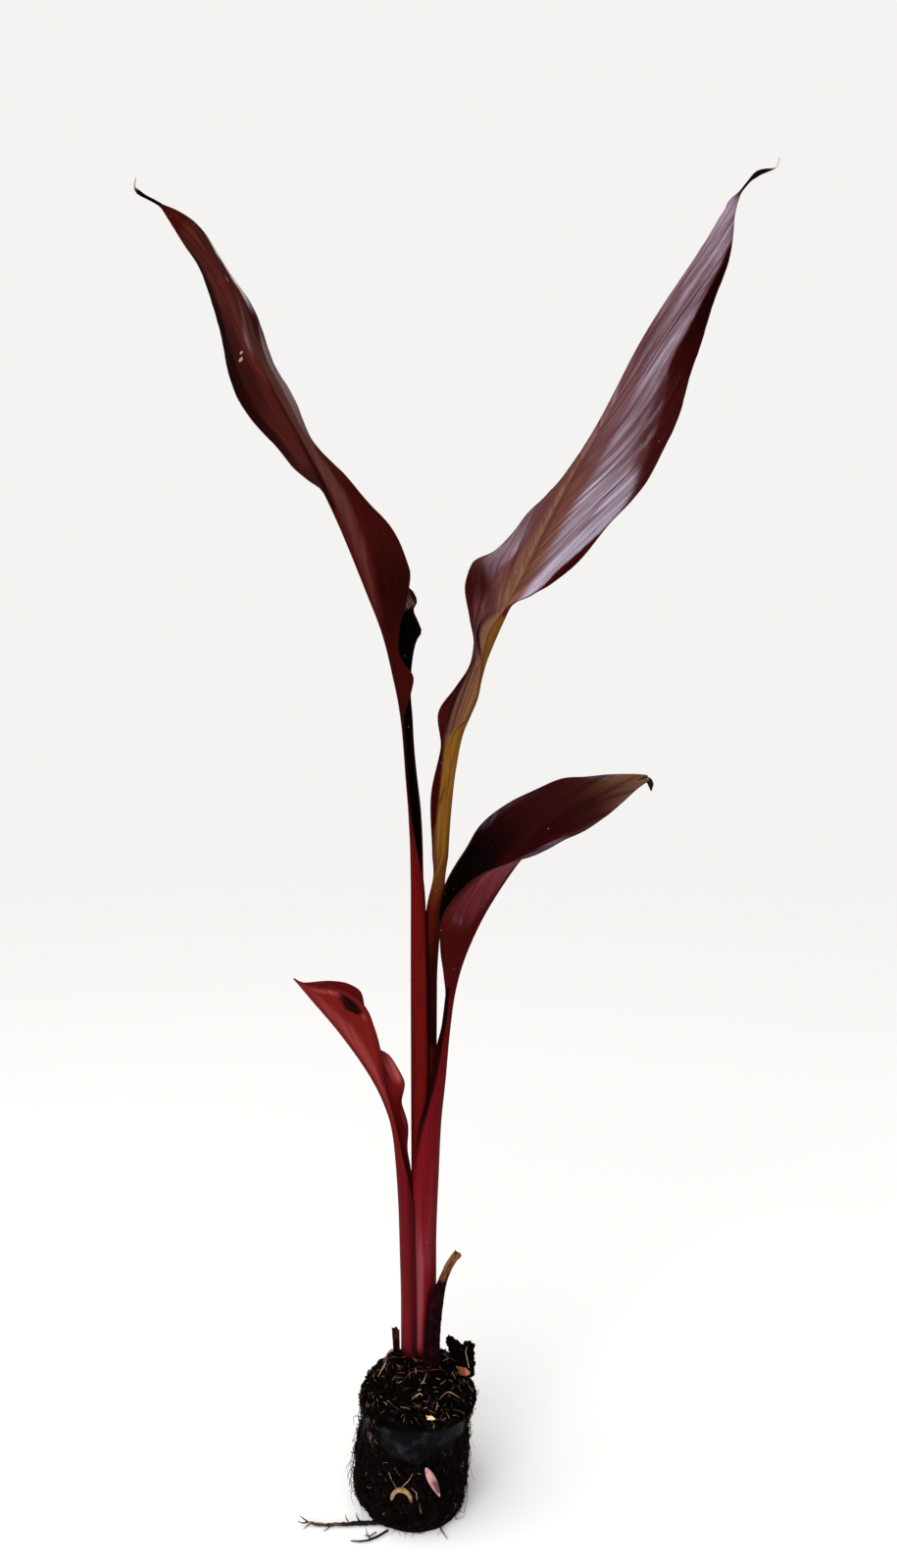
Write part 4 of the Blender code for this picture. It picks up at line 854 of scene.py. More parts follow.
# Colours of each leaf. The pink tint of the crimson and purple leaves and the lighter brown tint of the
# maroon leaf serve as painted highlights, and the deep maroon tint of the sheeny leaf as painted shade. The
# sheen tones are painted sheen, also used for pale tips. The maroon leaf's white gold tone is a painted
# glint.
CRIMSON = {
    "under": (101, 20, 18), "upper": (102, 16, 16), "sheath": (86, 11, 17), "margin": (60, 4, 6),
    "tint_highlight_and_shade": (146, 66, 66), "sheen_and_pale": (150, 80, 90), "gold_and_glint": (120, 60, 40), "tan": (128, 62, 50),
}
PURPLE = {
    "under": (62, 9, 7), "upper": (36, 3, 4), "sheath": (98, 14, 20), "margin": (44, 12, 14),
    "tint_highlight_and_shade": (124, 55, 63), "sheen_and_pale": (78, 58, 74), "gold_and_glint": (98, 68, 50), "tan": (92, 64, 46),
}
MAROON = {
    "under": (57, 8, 4), "upper": (46, 8, 8), "sheath": (83, 10, 9), "margin": (34, 5, 4),
    "tint_highlight_and_shade": (98, 54, 48), "sheen_and_pale": (138, 116, 118), "gold_and_glint": (232, 222, 224), "tan": (200, 176, 140),
}
SHEENY = {
    "under": (84, 18, 12), "upper": (86, 47, 48), "sheath": (70, 14, 6), "margin": (56, 10, 12),
    "tint_highlight_and_shade": (56, 8, 6), "sheen_and_pale": (162, 149, 167), "gold_and_glint": (118, 78, 24), "tan": (114, 76, 56),
}

# Root ball, as in its solid: radius by height, lean by height, and the level crown that the shoot stands in
BALL_HEIGHT = 53.5
BALL_SIDE = [(0, 20.4), (2.5, 21.8), (9, 23.6), (22, 24.9), (34, 24.8), (42, 24.6), (47, 26), (52.5, 27.3)]
BALL_LEAN = [(0, 0), (25, -1), (45, -0.2), (52.5, 1)]
BALL_LUMP = 0.55
BALL_SEED = 7
CROWN_HEIGHT = 64.0
CROWN_RADIUS = 12.5
CROWN_CENTRE = (1.8, 4.6)

# The peat's swelling low on the left, by height, and how far round it goes
LEFT_BULGE = [(0, 3.6), (4, 4.6), (9, 4.4), (22, 2.6), (34, 1.1), (42, 0)]
BULGE_SPREAD = 0.75

# The band that the tray moulded, below the rim on the front: its foot by x, and where its other sides fade
BAND_X = [-14.0, -4.3, 6.5, 18.8, 23.0]
BAND_FOOT = [39.5, 36.3, 38.6, 39.0, 43.0]
BAND_TOP = (50.0, 51.5)
BAND_LEFT = (-16.5, -14.0)
BAND_RIGHT = (21.0, 23.5)
# The film on its left: centre and width in x, and the heights where it fades
FILM_X = (-20.5, 3.2)
FILM_FOOT = (36.0, 41.0)
FILM_TOP = (51.0, 53.0)

# The loose peat of the crown: where it starts, the mound round the shoot and the ridge on the left
CROWN_FROM = (51.5, 55.0)
MOUND_CENTRE = (2.2, 3.6)
MOUND_RADII = (12.5, 10.6)
MOUND_HEIGHT = 3.2
RIDGE_X = (-17, 8)
RIDGE_HEIGHT = 1.9

# The ragged lump on the right: middle, half widths, foot and top, and the rises and dips of its top over x
TOWER_X, TOWER_Y = 21.4, 9.5
TOWER_HALVES = (6.0, 3.3)
TOWER_FOOT, TOWER_TOP = 55.5, 71.5
TOWER_PEAKS = [(1.6, 17.6, 1.6), (-2.2, 21.3, 1.3), (0.8, 25.4, 1.0)]

# The pink bud on the front: its upper end (x, z), its slant from upright and its length
BUD_TOP = (5.4, 34.4)
BUD_SLANT = math.radians(21)
BUD_LENGTH = 15.6

# Strewn at random, on the crown and then on the side: how many crumbs, and fibres with length and radius
PEAT_SEED = 23
CRUMBS = (420, 160)
CRUMB_SIZE = (0.25, 0.85)
TAN_FIBRES = [(250, (1.2, 5.0), (0.035, 0.09)), (70, (1.2, 3.6), (0.03, 0.09))]
PALE_FIBRES = [(105, (1.0, 4.4), (0.04, 0.09)), (16, (1.0, 3.0), (0.03, 0.08))]
DARK_FIBRES = (420, (3.0, 9.0), (0.08, 0.24), 0.9)
HAIR_ROOTS = 230
LEFT_TUFTS = 34

# What lies on the crown: points (x, y) along each straw or root, its height above the peat and its radius
STRAWS = [
    ([(10.8, -16.5), (14.3, -12.2), (17, -11.1), (20.1, -11.8)], 0.45, 0.24),
    ([(-15.5, 4), (-12.5, 8.8), (-9.8, 11.2)], 0.6, 0.36),
    ([(-17.6, -3), (-15, 0.4), (-13.6, 3.4)], 0.45, 0.22),
    ([(0.2, -16.5), (1.9, -15.4), (3.4, -16.2)], 0.35, 0.22),
    ([(1.2, -13.9), (2.6, -13.1)], 0.35, 0.24),
    ([(3.9, -20.8), (5.6, -20)], 0.3, 0.2),
    ([(2.7, -10.7), (4.4, -9.4), (5, -7.6)], 0.35, 0.18),
]
RED_ROOTS = [
    ([(-9.3, -0.1), (-4.4, 2.3), (2.5, -0.9), (11.6, 1.5)], 0.6, 0.16),
    ([(-6, -9.5), (0.5, -6.5), (7.5, -6.9), (13, -4.4)], 0.5, 0.13),
]
STRAY_ROOT = [(-13, -15.6, 1.6), (-24, -15.8, 1.2), (-33, -16.5, 1.2), (-42, -16.6, 1),
    (-49.2, -15.2, 1.3)]
# Thin roots round the stray root, on the ball's front and on the torn lump: (x, y, z, radius)
THIN_ROOTS = [
    [(-28.6, -25.8, 0.5, 0.2), (-24.5, -26.3, 0.6, 0.35), (-20.8, -25.8, 0.7, 0.4), (-16.5, -23.6, 0.9, 0.5),
        (-12.2, -20.2, 1.2, 0.5)],
    [(11, -17.5, 1, 0.3), (12.6, -21, 0.6, 0.25), (14.6, -24.6, 0.4, 0.12)],
    [(-48.6, -15.3, 1.3, 0.35), (-51.2, -14, 2.2, 0.22), (-52.6, -13.8, 3.2, 0.1)],
    [(-48.8, -15.2, 1.2, 0.35), (-51.3, -15.9, 1.3, 0.26), (-53.4, -15.4, 1.9, 0.1)],
    [(-47, -15.4, 1.2, 0.3), (-49, -17.2, 0.8, 0.2), (-50.6, -18.8, 0.5, 0.1)],
    [(-38, -16.6, 1.2, 0.3), (-39.6, -18.6, 0.5, 0.2), (-41.4, -19.8, 0.4, 0.1)],
    [(-30, -16.2, 1.4, 0.3), (-31.4, -14.4, 2.4, 0.22), (-32, -13.2, 3.6, 0.1)],
    [(-24, -16, 1.4, 0.4), (-26, -13.4, 1, 0.3), (-27, -10.6, 0.5, 0.2), (-27.4, -8.2, 0.4, 0.1)],
    [(-20, -24.9, 0.8, 0.3), (-21.6, -22.4, 1.6, 0.2), (-22, -20.6, 2.4, 0.1)],
    [(-17.4, -21, 0.9, 0.3), (-20, -23, 0.6, 0.25), (-22.6, -22.6, 0.5, 0.15)],
]
FRONT_ROOTS = [
    [(-11.6, -23.2, 30.4, 0.06), (-10.2, -24.1, 27.4, 0.11), (-8.2, -24.9, 24.4, 0.1)],
    [(-0.8, -25.9, 31.6, 0.05), (-2.8, -26.2, 28.4, 0.1), (-5.6, -26, 25.6, 0.1)],
    [(-1.6, -26.3, 25.4, 0.08), (0.8, -26.3, 23.2, 0.1), (1.2, -26, 19, 0.08)],
    [(23.6, 4.6, 72.2, 0.1), (23, 5.4, 69, 0.14), (23.8, 5.8, 65, 0.14), (24.6, 5.4, 61.4, 0.1)],
]
FRONT_CHIP = [(2.2, -26, 18, 0.2), (2.5, -26.1, 15.4, 0.36), (2.9, -25.8, 13, 0.2)]

# Floor, room and lamps in metres, and the camera that the picture is taken with
FLOOR_SIZE, FLOOR_HEIGHT = 8.0, -0.0004
FLOOR_FADE = (2.2, 0.5)
FLOOR_COLOUR = (0.9, 0.89, 0.875, 1.0)
ROOM_SEEN = (0.905, 0.896, 0.875, 1.0)
ROOM_LIGHT = (1.0, 0.98, 0.96, 1.0)
ROOM_POWER = 0.4
SUN_BEAM, SUN_POWER, SUN_ANGLE = (0.55, 0.75, -1.15), 2.6, math.radians(85)
SOFTBOX_PLACE, SOFTBOX_TARGET = (-0.35, -1.1, 0.75), (0.0, 0.0, 0.35)
SOFTBOX_SIZE, SOFTBOX_POWER = 0.8, 9.0
CAMERA_PLACE = (0.015, -0.506, 0.369)
CAMERA_TILT = 3.75
FRAME_WIDTH, LENS = 36.0, 26.0


def ball_places(turns, rises):
    """Points on the smooth root ball: turn round it, and rise from 0 mid-foot to 1 on its crown."""
    rows = [(0.0, 0.0, 0.0, 0.0)]
    rows += [(radius, at_height(BALL_LEAN, height), 0.0, height) for height, radius in BALL_SIDE]
    for share in np.linspace(0.0, 1.0, 7):
        radius = (BALL_SIDE[-1][1] - 1) * (1 - share) + CROWN_RADIUS * share
        x = BALL_LEAN[-1][1] * (1 - share) + CROWN_CENTRE[0] * share
        height = BALL_HEIGHT + (CROWN_HEIGHT - BALL_HEIGHT) * (1 - (1 - share) ** 1.3)
        rows.append((radius, x, CROWN_CENTRE[1] * share, height))
    rows = np.array(rows + [(0.0, *CROWN_CENTRE, CROWN_HEIGHT)])
    length = running(np.hypot(np.diff(rows[:, 0]), np.diff(rows[:, 3])))
    radius, x, y, height = (np.interp(rises * length[-1], length, rows[:, i]) for i in range(4))
    dice = random.Random(BALL_SEED)
    waves = [(dice.randint(2, 7), dice.uniform(0, 2 * math.pi), dice.uniform(0.05, 0.14)) for _ in range(7)]
    lump = sum(np.sin(n * turns + start + rate * height) for n, start, rate in waves) / 3
    radius = radius + BALL_LUMP * lump * np.minimum(height / 10, 1.0) * (height < BALL_HEIGHT - 1.0)
    return np.column_stack([x + radius * np.cos(turns), y + radius * np.sin(turns), height])


def left_bulge(turns, heights):
    """How far the peat swells past its even round, low on its left."""
    off = np.mod(turns, 2 * math.pi) - math.pi
    return follow(LEFT_BULGE, heights)[..., 0] * hill(off, 0.0, BULGE_SPREAD)


def off_ball(turn, height, clear):
    """A point at that turn and height, so far clear of the ball's side."""
    radius = float(at_height(BALL_SIDE, height) + left_bulge(turn, height)) + clear
    return at_height(BALL_LEAN, height) + radius * math.cos(turn), radius * math.sin(turn), height


def ball_front(x, height, clear):
    """Y of a point that far in front of the root ball's side."""
    radius = at_height(BALL_SIDE, height) + clear
    return -math.sqrt(radius**2 - (x - at_height(BALL_LEAN, height)) ** 2)


def rough(points, size, octaves=3):
    """Fractal noise at points in millimetres, about -1 to 1, with lumps of that size."""
    return np.array([noise.fractal(Vector(p / size), 0.8, 2.1, octaves) for p in points])


def fine_ball(name, subdivisions):
    """A ball to shape into a lump, and the direction of each of its points."""
    deselect()
    bpy.ops.mesh.primitive_ico_sphere_add(subdivisions=subdivisions, radius=1.0)
    piece = name_piece(name)
    return piece, numbers(piece.data.vertices, "co")


def finish_peat(piece, places, moulded, paint, node):
    """Puts a lump's points in place and keeps how smoothly each was moulded."""
    move_points(piece.data, places)
    keep_value(piece.data, "moulded", moulded)
    bpy.ops.object.shade_smooth()
    piece.data.update()
    settle(piece, paint, node)


def peat_ball(paint):
    """The root ball with its crumbly peat, smooth where the tray cell moulded it."""
    ball, way = fine_ball("peat_ball", 7)
    turns = np.arctan2(way[:, 1], way[:, 0])
    smooth = ball_places(turns, 1 - np.arccos(np.clip(way[:, 2], -1, 1)) / math.pi)
    x, y, height = smooth.T
    move_points(ball.data, smooth)
    ball.data.update()
    out = numbers(ball.data.vertices, "normal")
    crown = soft_step(*CROWN_FROM, height)
    wander = 2.2 * rough(smooth, 7.0)
    band_foot = np.interp(x, BAND_X, BAND_FOOT)
    moulded = soft_step(-1.0, 1.2, height - band_foot - wander) * (1 - soft_step(*BAND_TOP, height))
    moulded *= soft_step(*BAND_LEFT, x + wander * 0.4) * (1 - soft_step(*BAND_RIGHT, x)) * (y < 0)
    film = hill(x, *FILM_X) * soft_step(*FILM_FOOT, height) * (1 - soft_step(*FILM_TOP, height))
    film *= (y < 0) * soft_step(-0.25, 0.15, rough(smooth, 4.0))
    moulded = np.maximum(moulded, film)
    coarse, middling, fine = rough(smooth, 5.2), rough(smooth + 40, 2.3), rough(smooth + 90, 1.1, 2)
    relief = (0.5 * coarse + 0.38 * middling + 0.22 * fine) * (1 + crown) * (1 - 0.93 * moulded)
    relief = relief - 0.1 + 0.25 * moulded
    from_shoot = np.hypot((x - MOUND_CENTRE[0]) / MOUND_RADII[0], (y - MOUND_CENTRE[1]) / MOUND_RADII[1])
    relief = relief + crown * MOUND_HEIGHT * (1 - soft_step(0.9, 1.45, from_shoot))
    relief = relief + crown * RIDGE_HEIGHT * hill(x, *RIDGE_X) * soft_step(-14.0, 0.0, y)
    places = smooth + out * relief[:, None]
    reach = np.minimum(np.hypot(x, y) / BALL_SIDE[0][1], 1.0) ** 2
    swell = left_bulge(turns, height) * reach * (1 + 0.25 * coarse)
    places[:, 0] += swell * np.cos(turns)
    places[:, 1] += swell * np.sin(turns)
    under = height < 0.4
    places[under, 2] = np.maximum(0.0, 0.15 + 0.3 * middling[under])
    places[:, 2] = np.maximum(places[:, 2], 0.0)
    finish_peat(ball, places, moulded, paint, "root_ball")
    return places, numbers(ball.data.vertices, "normal"), moulded


def peat_tower(paint):
    """The ragged lump of peat on the crown's right, two torn towers on one foot. Gives spots for crumbs."""
    lump, way = fine_ball("peat_tower", 6)
    across, deep, up = way.T
    rise = (up + 1) / 2
    square = np.maximum(np.hypot(across, deep), 1e-6)
    full = np.minimum(1.0, 2.2 * np.sqrt(np.maximum(1 - up**2, 0.0)))
    x = TOWER_X + TOWER_HALVES[0] * (across / square * full) * (1 - 0.1 * rise)
    y = TOWER_Y + TOWER_HALVES[1] * (deep / square * full) * (1 - 0.25 * rise)
    left_peak, dip, right_peak = (height * hill(x, middle, width) for height, middle, width in TOWER_PEAKS)
    top = TOWER_TOP + left_peak + dip + (right_peak - 0.25 * (x - TOWER_X))
    high = TOWER_FOOT + (top - TOWER_FOOT) * soft_step(-0.02, 1.02, rise)
    x = x - 0.3 * np.maximum(high - 66, 0) * soft_step(21.5, 18.5, x)
    places = np.column_stack([x, y, high])
    out = unit(places - [TOWER_X, TOWER_Y, 0]) * [1, 1, 0.4]
    places = places + out * (0.9 * rough(places, 3.0) + 0.65 * rough(places + 30, 1.2))[:, None]
    finish_peat(lump, places, np.zeros(len(places)), paint, "peat_lump")
    return list(places[places[:, 2] > 60][::40])


def strands(name, lines, paint):
    """One piece of many round strands, each a list of (x, y, z, radius) in millimetres."""
    curve = bpy.data.curves.new(name, "CURVE")
    curve.dimensions = "3D"
    curve.bevel_depth = MM
    curve.bevel_resolution = 0 if len(lines) > 20 else 2
    curve.use_fill_caps = True
    for line in lines:
        spline = curve.splines.new("POLY")
        spline.points.add(len(line) - 1)
        for point, (x, y, z, radius) in zip(spline.points, line):
            point.co = (x * MM, y * MM, z * MM, 1.0)
            point.radius = radius
    piece = add_object(name, curve)
    deselect()
    piece.select_set(True)
    bpy.context.view_layer.objects.active = piece
    bpy.ops.object.convert(target="MESH")
    bpy.ops.object.shade_smooth()
    settle(bpy.context.active_object, paint)


def any_way(dice):
    """A direction at random."""
    return Vector([dice.gauss(0, 1) for _ in range(3)])


def scatter_fibres(dice, places, normals, chosen, count, length, radius, lift=0.4):
    """Lines of short bent fibres lying on the peat at random among the chosen points."""
    lines = []
    for _ in range(count):
        i = chosen[dice.randrange(len(chosen))]
        out = Vector(normals[i])
        side = out.cross(any_way(dice)).normalized()
        bend = out.cross(side) * dice.uniform(-0.35, 0.35)
        reach = dice.uniform(*length)
        thick = dice.uniform(*radius)
        start = Vector(places[i]) + out * (0.12 + thick)
        line = []
        for step in range(6):
            t = step / 5
            lifted = lift * dice.uniform(0.1, 1.0) * math.sin(math.pi * t) - 0.02 * reach * abs(t - 0.5)
            spot = start + side * reach * (t - 0.5) + bend * reach * t * t + out * lifted
            line.append((*spot, thick * (1 - 0.55 * abs(2 * t - 1) ** 3)))
        lines.append(line)
    return lines


def hair_lines(dice, count):
    """Hair roots that wander down the root ball's side, some leaving it with their ends."""
    lines = []
    for _ in range(count):
        turn = dice.uniform(0, 2 * math.pi)
        high = dice.uniform(6.0, 50.0)
        drop = dice.uniform(4.0, 20.0)
        drift = dice.uniform(-0.5, 0.5)
        leaves = dice.random() < 0.4
        thick = dice.uniform(0.07, 0.2)
        line = []
        for t in np.linspace(0, 1, 9).tolist():
            clear = 0.35 + (t**2 * dice.uniform(0.6, 1.0) * 4.5 if leaves else dice.uniform(0.0, 0.3))
            angle = turn + drift * t + 0.06 * math.sin(5 * t + turn * 7)
            line.append((*off_ball(angle, max(high - drop * t, 0.3), clear), thick * (1 - 0.6 * t)))
        lines.append(line)
    return lines


def left_tufts(dice, count):
    """Dark tufts that hang out from the ball's left side."""
    lines = []
    for _ in range(count):
        turn = math.pi + dice.uniform(-0.75, 0.75)
        high = dice.choice((dice.uniform(8.0, 22.0), dice.uniform(8.0, 50.0)))
        reach = dice.uniform(1.6, 4.6)
        drop = dice.uniform(3.0, 8.0)
        thick = dice.uniform(0.12, 0.26)
        line = []
        for step in range(7):
            t = step / 6
            height = max(high + 2.0 * t - drop * t * t, 0.3)
            angle = turn + 0.05 * math.sin(4 * t + high)
            line.append((*off_ball(angle, height, reach * math.sin(1.7 * t)), thick * (1 - 0.7 * t)))
        lines.append(line)
    return lines


def on_peat(places, spots, lift, thick):
    """A line of points laid on the peat crown, thin at both ends."""
    keys = length_keys(spots)
    end = keys[-1, 0]
    found = []
    for at in np.linspace(0.0, end, 9):
        x, y = follow(keys, at)
        near = np.hypot(places[:, 0] - x, places[:, 1] - y) + 1000.0 * (places[:, 2] < 50.0)
        height = places[np.argsort(near)[:6], 2].max()
        radius = thick * (1 - 0.7 * abs(2 * at / end - 1) ** 3)
        found.append([float(x), float(y), float(height) + lift, radius])
    for i in range(1, 8):
        found[i][2] = (found[i - 1][2] + found[i][2] + found[i + 1][2]) / 3
    return found


def tubes_along(points, radii, sides):
    """Rings of points along a line, square to it; radii is (share of the length, radius)."""
    keys = length_keys(points)
    end = keys[-1, 0]
    at = np.linspace(0.0, end, max(8, round(end / 0.7)))
    along = direction(keys, at, reach=0.4)
    aside = unit(np.cross(along, [0.0, 1.0, 0.12]))
    deep = np.cross(along, aside)[:, None]
    radius = follow(radii, at / end)
    turns = round_turns(sides)[None, :, None]
    across = radius[:, :1, None] * np.cos(turns) * aside[:, None]
    return follow(keys, at)[:, None] + across + radius[:, -1:, None] * np.sin(turns) * deep


def roughened(rings, size, depth):
    """The rings with noise of that size pushed into them, level ends kept."""
    out = unit(rings - rings.mean(axis=1, keepdims=True))
    lumps = rough(rings.reshape(-1, 3), size).reshape(rings.shape[:2])
    return rings + out * (lumps * depth)[..., None]


def crumbs(name, dice, spots, size, paint):
    """Many small lumps, all copies of one rough grain, as one piece."""
    grain, shape = fine_ball("grain", 2)
    shape = shape * (1 + 0.35 * rough(shape * 3, 2.0))[:, None]
    faces = np.array([list(face.vertices) for face in grain.data.polygons])
    bpy.data.objects.remove(grain)
    points, corners = [], []
    for k, spot in enumerate(spots):
        turn = any_way(dice).normalized().to_track_quat("Z", "Y").to_matrix()
        stretch = [dice.uniform(0.6, 1.3) for _ in range(3)]
        points.append((shape * stretch) @ np.array(turn) * dice.uniform(*size) + spot)
        corners.append(faces + k * len(shape))
    mesh = bpy.data.meshes.new(name)
    mesh.from_pydata((np.concatenate(points) * MM).tolist(), [], np.concatenate(corners).tolist())
    mesh.shade_smooth()
    keep_value(mesh, "moulded", np.zeros(len(mesh.vertices)))
    settle(add_object(name, mesh), paint)


def chip(name, centre, size, turn, tilt, bend, paint):
    """A flat splinter of bark: size is length, width and thickness, turn and tilt are degrees."""
    t = np.linspace(0, 1, 26)[:, None]
    turns = round_turns(20)[None, :]
    full = np.clip(np.minimum(t * 5, (1 - t) * 3.5), 0.12, 1.0) ** 0.6 * (1 + 0.12 * np.sin(t * 9))
    x = (t - 0.5) * size[0] + 0 * turns
    y = size[1] / 2 * full * np.cos(turns) + bend * (t - 0.5) ** 2 * size[0]
    z = size[2] / 2 * full * np.sign(np.sin(turns)) * np.abs(np.sin(turns)) ** 0.6
    rings = roughened(np.stack([x, y, z], axis=-1), 1.6, 0.12 * size[1])
    c, s = math.cos(math.radians(turn)), math.sin(math.radians(turn))
    ct, st = math.cos(math.radians(tilt)), math.sin(math.radians(tilt))
    tilted = rings @ np.array([[1, 0, 0], [0, ct, st], [0, -st, ct]])
    turned = tilted @ np.array([[c, s, 0], [-s, c, 0], [0, 0, 1]])
    settle(skin(name, turned + np.array(centre)), paint)


def dead_stalk(paint):
    """The dried stump of an older shoot: two shrunken folds, torn at the top."""
    line = [(7.2, -1.4, 62.5), (7.4, -1.4, 76), (8.4, -1.4, 87), (10.6, -1.4, 101), (14.8, -1.2, 113),
            (18.8, -1.0, 120)]
    radii = [(0.0, 4.1, 2.9), (0.35, 3.4, 2.5), (0.62, 2.7, 2.2), (0.82, 1.9, 1.4), (0.95, 1.9, 1.3),
             (1.0, 1.5, 1.0)]
    rings = tubes_along(line, radii, 40)
    centre = rings.mean(axis=1, keepdims=True)
    turns = round_turns(40)[None, :]
    rise = np.linspace(0, 1, len(rings))[:, None]
    groove = 1 - 0.28 * hill(turns, 4.4, 0.33) - 0.22 * hill(turns, 2.2, 0.3)
    groove = groove + 0.05 * np.sin(turns * 9 + rise * 5)
    rings = centre + (rings - centre) * groove[..., None]
    torn = hill((1 - rise) * 30, 0, 1)
    rings[..., 2] += torn * 1.1 * np.sin(turns * 3 + 0.6)
    rings[..., 0] += torn * 0.8 * np.cos(turns * 2)
    values = {"dry": np.repeat(rise, 40, axis=1), "across": np.repeat(turns * 3, len(rings), axis=0)}
    settle(skin("dead_stalk_skin", roughened(rings, 2.0, 0.16), values), paint, "dead_stalk")


def bud_scale(paint):
    """The dry bract: a thin hollow scale with a ragged top."""
    rise = np.linspace(0, 1, 34)[:, None]
    turns = round_turns(40)[None, :]
    across = (2.8 + 1.3 * rise**0.7) / 2 * np.cos(turns)
    deep = 0.42 * np.sin(turns) - 0.8 * np.cos(turns) ** 2 + 0.4
    turn = math.radians(-25)
    rings = np.stack([
        -8.8 - 0.8 * rise + across * math.cos(turn) - deep * math.sin(turn),
        6.0 + 0.2 * rise + across * math.sin(turn) + deep * math.cos(turn),
        62.8 + 17.2 * rise + 0.6 * rise**6 * np.sin(turns * 4 + 1),
    ], axis=-1)
    values = {"dry": np.repeat(0.66 + rise * 0.14, 40, axis=1), "across": across * 2}
    settle(skin("bud_scale_skin", roughened(rings, 1.5, 0.07), values), paint, "bud_scale")


def side_shoot(paint):
    """The pink bud on the front of the root ball: a pointed scale over a dark red one."""
    shares = np.linspace(0, 1, 60)
    turns = round_turns(36)
    ridge = 1 + 0.14 * np.cos(turns * 2 + 1.0) - 0.16 * hill(turns, 5.2, 0.35)
    rings = []
    for share in shares:
        fullness = max(0.1, math.sin(math.pi * (0.06 + 0.88 * (1 - share)) ** 0.8))
        x = BUD_TOP[0] + math.sin(BUD_SLANT) * BUD_LENGTH * (1 - share)
        height = BUD_TOP[1] - math.cos(BUD_SLANT) * BUD_LENGTH * (1 - share)
        rings.append(np.column_stack([
            x + 2.0 * fullness * ridge * np.cos(turns),
            ball_front(x, height, 1.5 + BALL_LUMP) + 1.6 * fullness * ridge * np.sin(turns),
            height + 0.25 * fullness * np.sin(turns * 2),
        ]))
    across = np.repeat(turns[None, :], len(shares), axis=0)
    values = {"across": across, "dry": np.repeat(shares[:, None], len(turns), axis=1)}
    settle(skin("side_shoot_skin", np.array(rings), values), paint, "side_shoot")


def arched_root(paint):
    """The root that bends out of the ball's front and back into it."""
    points = []
    for angle in (math.pi * i / 12 for i in range(13)):
        x, height = -5.8 + 4.4 * math.cos(angle), 19.2 + 5.4 * math.sin(angle)
        points.append((x, ball_front(x, height, 1.6 + BALL_LUMP), height))
    radii = [(0.0, 0.5), (0.15, 0.8), (0.3, 0.9), (0.5, 1.15), (0.68, 0.85), (0.85, 0.9), (1.0, 0.5)]
    rings = roughened(tubes_along(points, radii, 20), 1.4, 0.22)
    settle(skin("arched_root_skin", rings), paint, "arched_root")


def stray_root(paint):
    """The thick root that lies out to the left on the ground."""
    rings = tubes_along(STRAY_ROOT, [(0.0, 1.1), (0.3, 0.9), (0.6, 0.75), (0.9, 0.6), (1.0, 0.4)], 18)
    rings = roughened(rings, 1.4, 0.3)
    rings[..., 2] = np.maximum(rings[..., 2], 0.05)
    settle(skin("stray_root_skin", rings), paint, "stray_root")


def dry_hook():
    """The dead end of the right leaf's tip: a small black flap that hangs from it."""
    line = [(97.0, -16.7, 338.4), (100.4, -17.3, 339.0), (102.2, -17.6, 337.6), (102.6, -17.8, 333.9)]
    rings = tubes_along(line, [(0.0, 0.3, 0.3), (0.45, 1.3, 0.4), (0.7, 1.2, 0.4), (1.0, 0.15, 0.15)], 16)
    black = fibre_paint("dead tip", (26, 12, 12), (10, 5, 6))
    settle(skin("dry_hook", roughened(rings, 1.5, 0.12)), black)


def peat_paint():
    """Near black peat with brown flecks; a dull film where it was moulded, with pale pinkish streaks low on
    the left that are partly fibres and partly painted sheen.
    """
    paint = Paint("peat")
    place = paint.place()
    moulded = paint.kept("moulded")
    clouds = paint.noise(place, 260.0, 5.0, 0.65)
    flecks = paint.noise(place, 900.0, 3.0, 0.6)
    colour = paint.mix(clouds.step(0.5, 0.75), (2, 1, 1), (22, 13, 10))
    colour = paint.mix(flecks.step(0.66, 0.74) * 0.7, colour, (84, 56, 42))
    film = paint.mix(paint.noise(place, 150.0, 4.0, 0.6).step(0.48, 0.72), (6, 6, 8), (34, 34, 40))
    # Low on the left: pale pinkish streaks, partly fibres and partly painted sheen.
    stretched = paint.node("ShaderNodeVectorMath", {"operation": "MULTIPLY"}, {0: place, 1: (1.0, 1.0, 0.22)})
    fibre_sheen_streaks = paint.noise(stretched, 620.0, 3.0, 0.6).step(0.46, 0.62)
    fibre_and_sheen_left = paint.mix(fibre_sheen_streaks, (8, 5, 5), (104, 86, 80))
    film = paint.mix(paint.place_x().step(-0.0165, -0.0185), film, fibre_and_sheen_left)
    normal = paint.bump(clouds * (1 - moulded * 0.8) + flecks * 0.5 * (1 - moulded), 0.0006, 0.8)
    return paint.finish(Base_Color=paint.mix(moulded, colour, film), Normal=normal,
                        Roughness=0.9 - moulded * 0.45 + (clouds - 0.5) * 0.2, Specular_IOR_Level=0.02)


def fibre_paint(name, light, dark, roughness=0.75):
    """Root, straw or bark: clouded between its two colours, with a fine grain."""
    paint = Paint(name)
    fine = paint.noise(paint.place(), 1500.0, 2.0)
    colour = paint.mix(paint.noise(paint.place(), 160.0, 2.0).step(0.4, 0.62), dark, light)
    colour = paint.mix((fine - 0.4) * 1.2, colour, dark)
    return paint.finish(Base_Color=colour, Roughness=roughness, Normal=paint.bump(fine, 0.0002, 0.5),
                        Specular_IOR_Level=0.04)


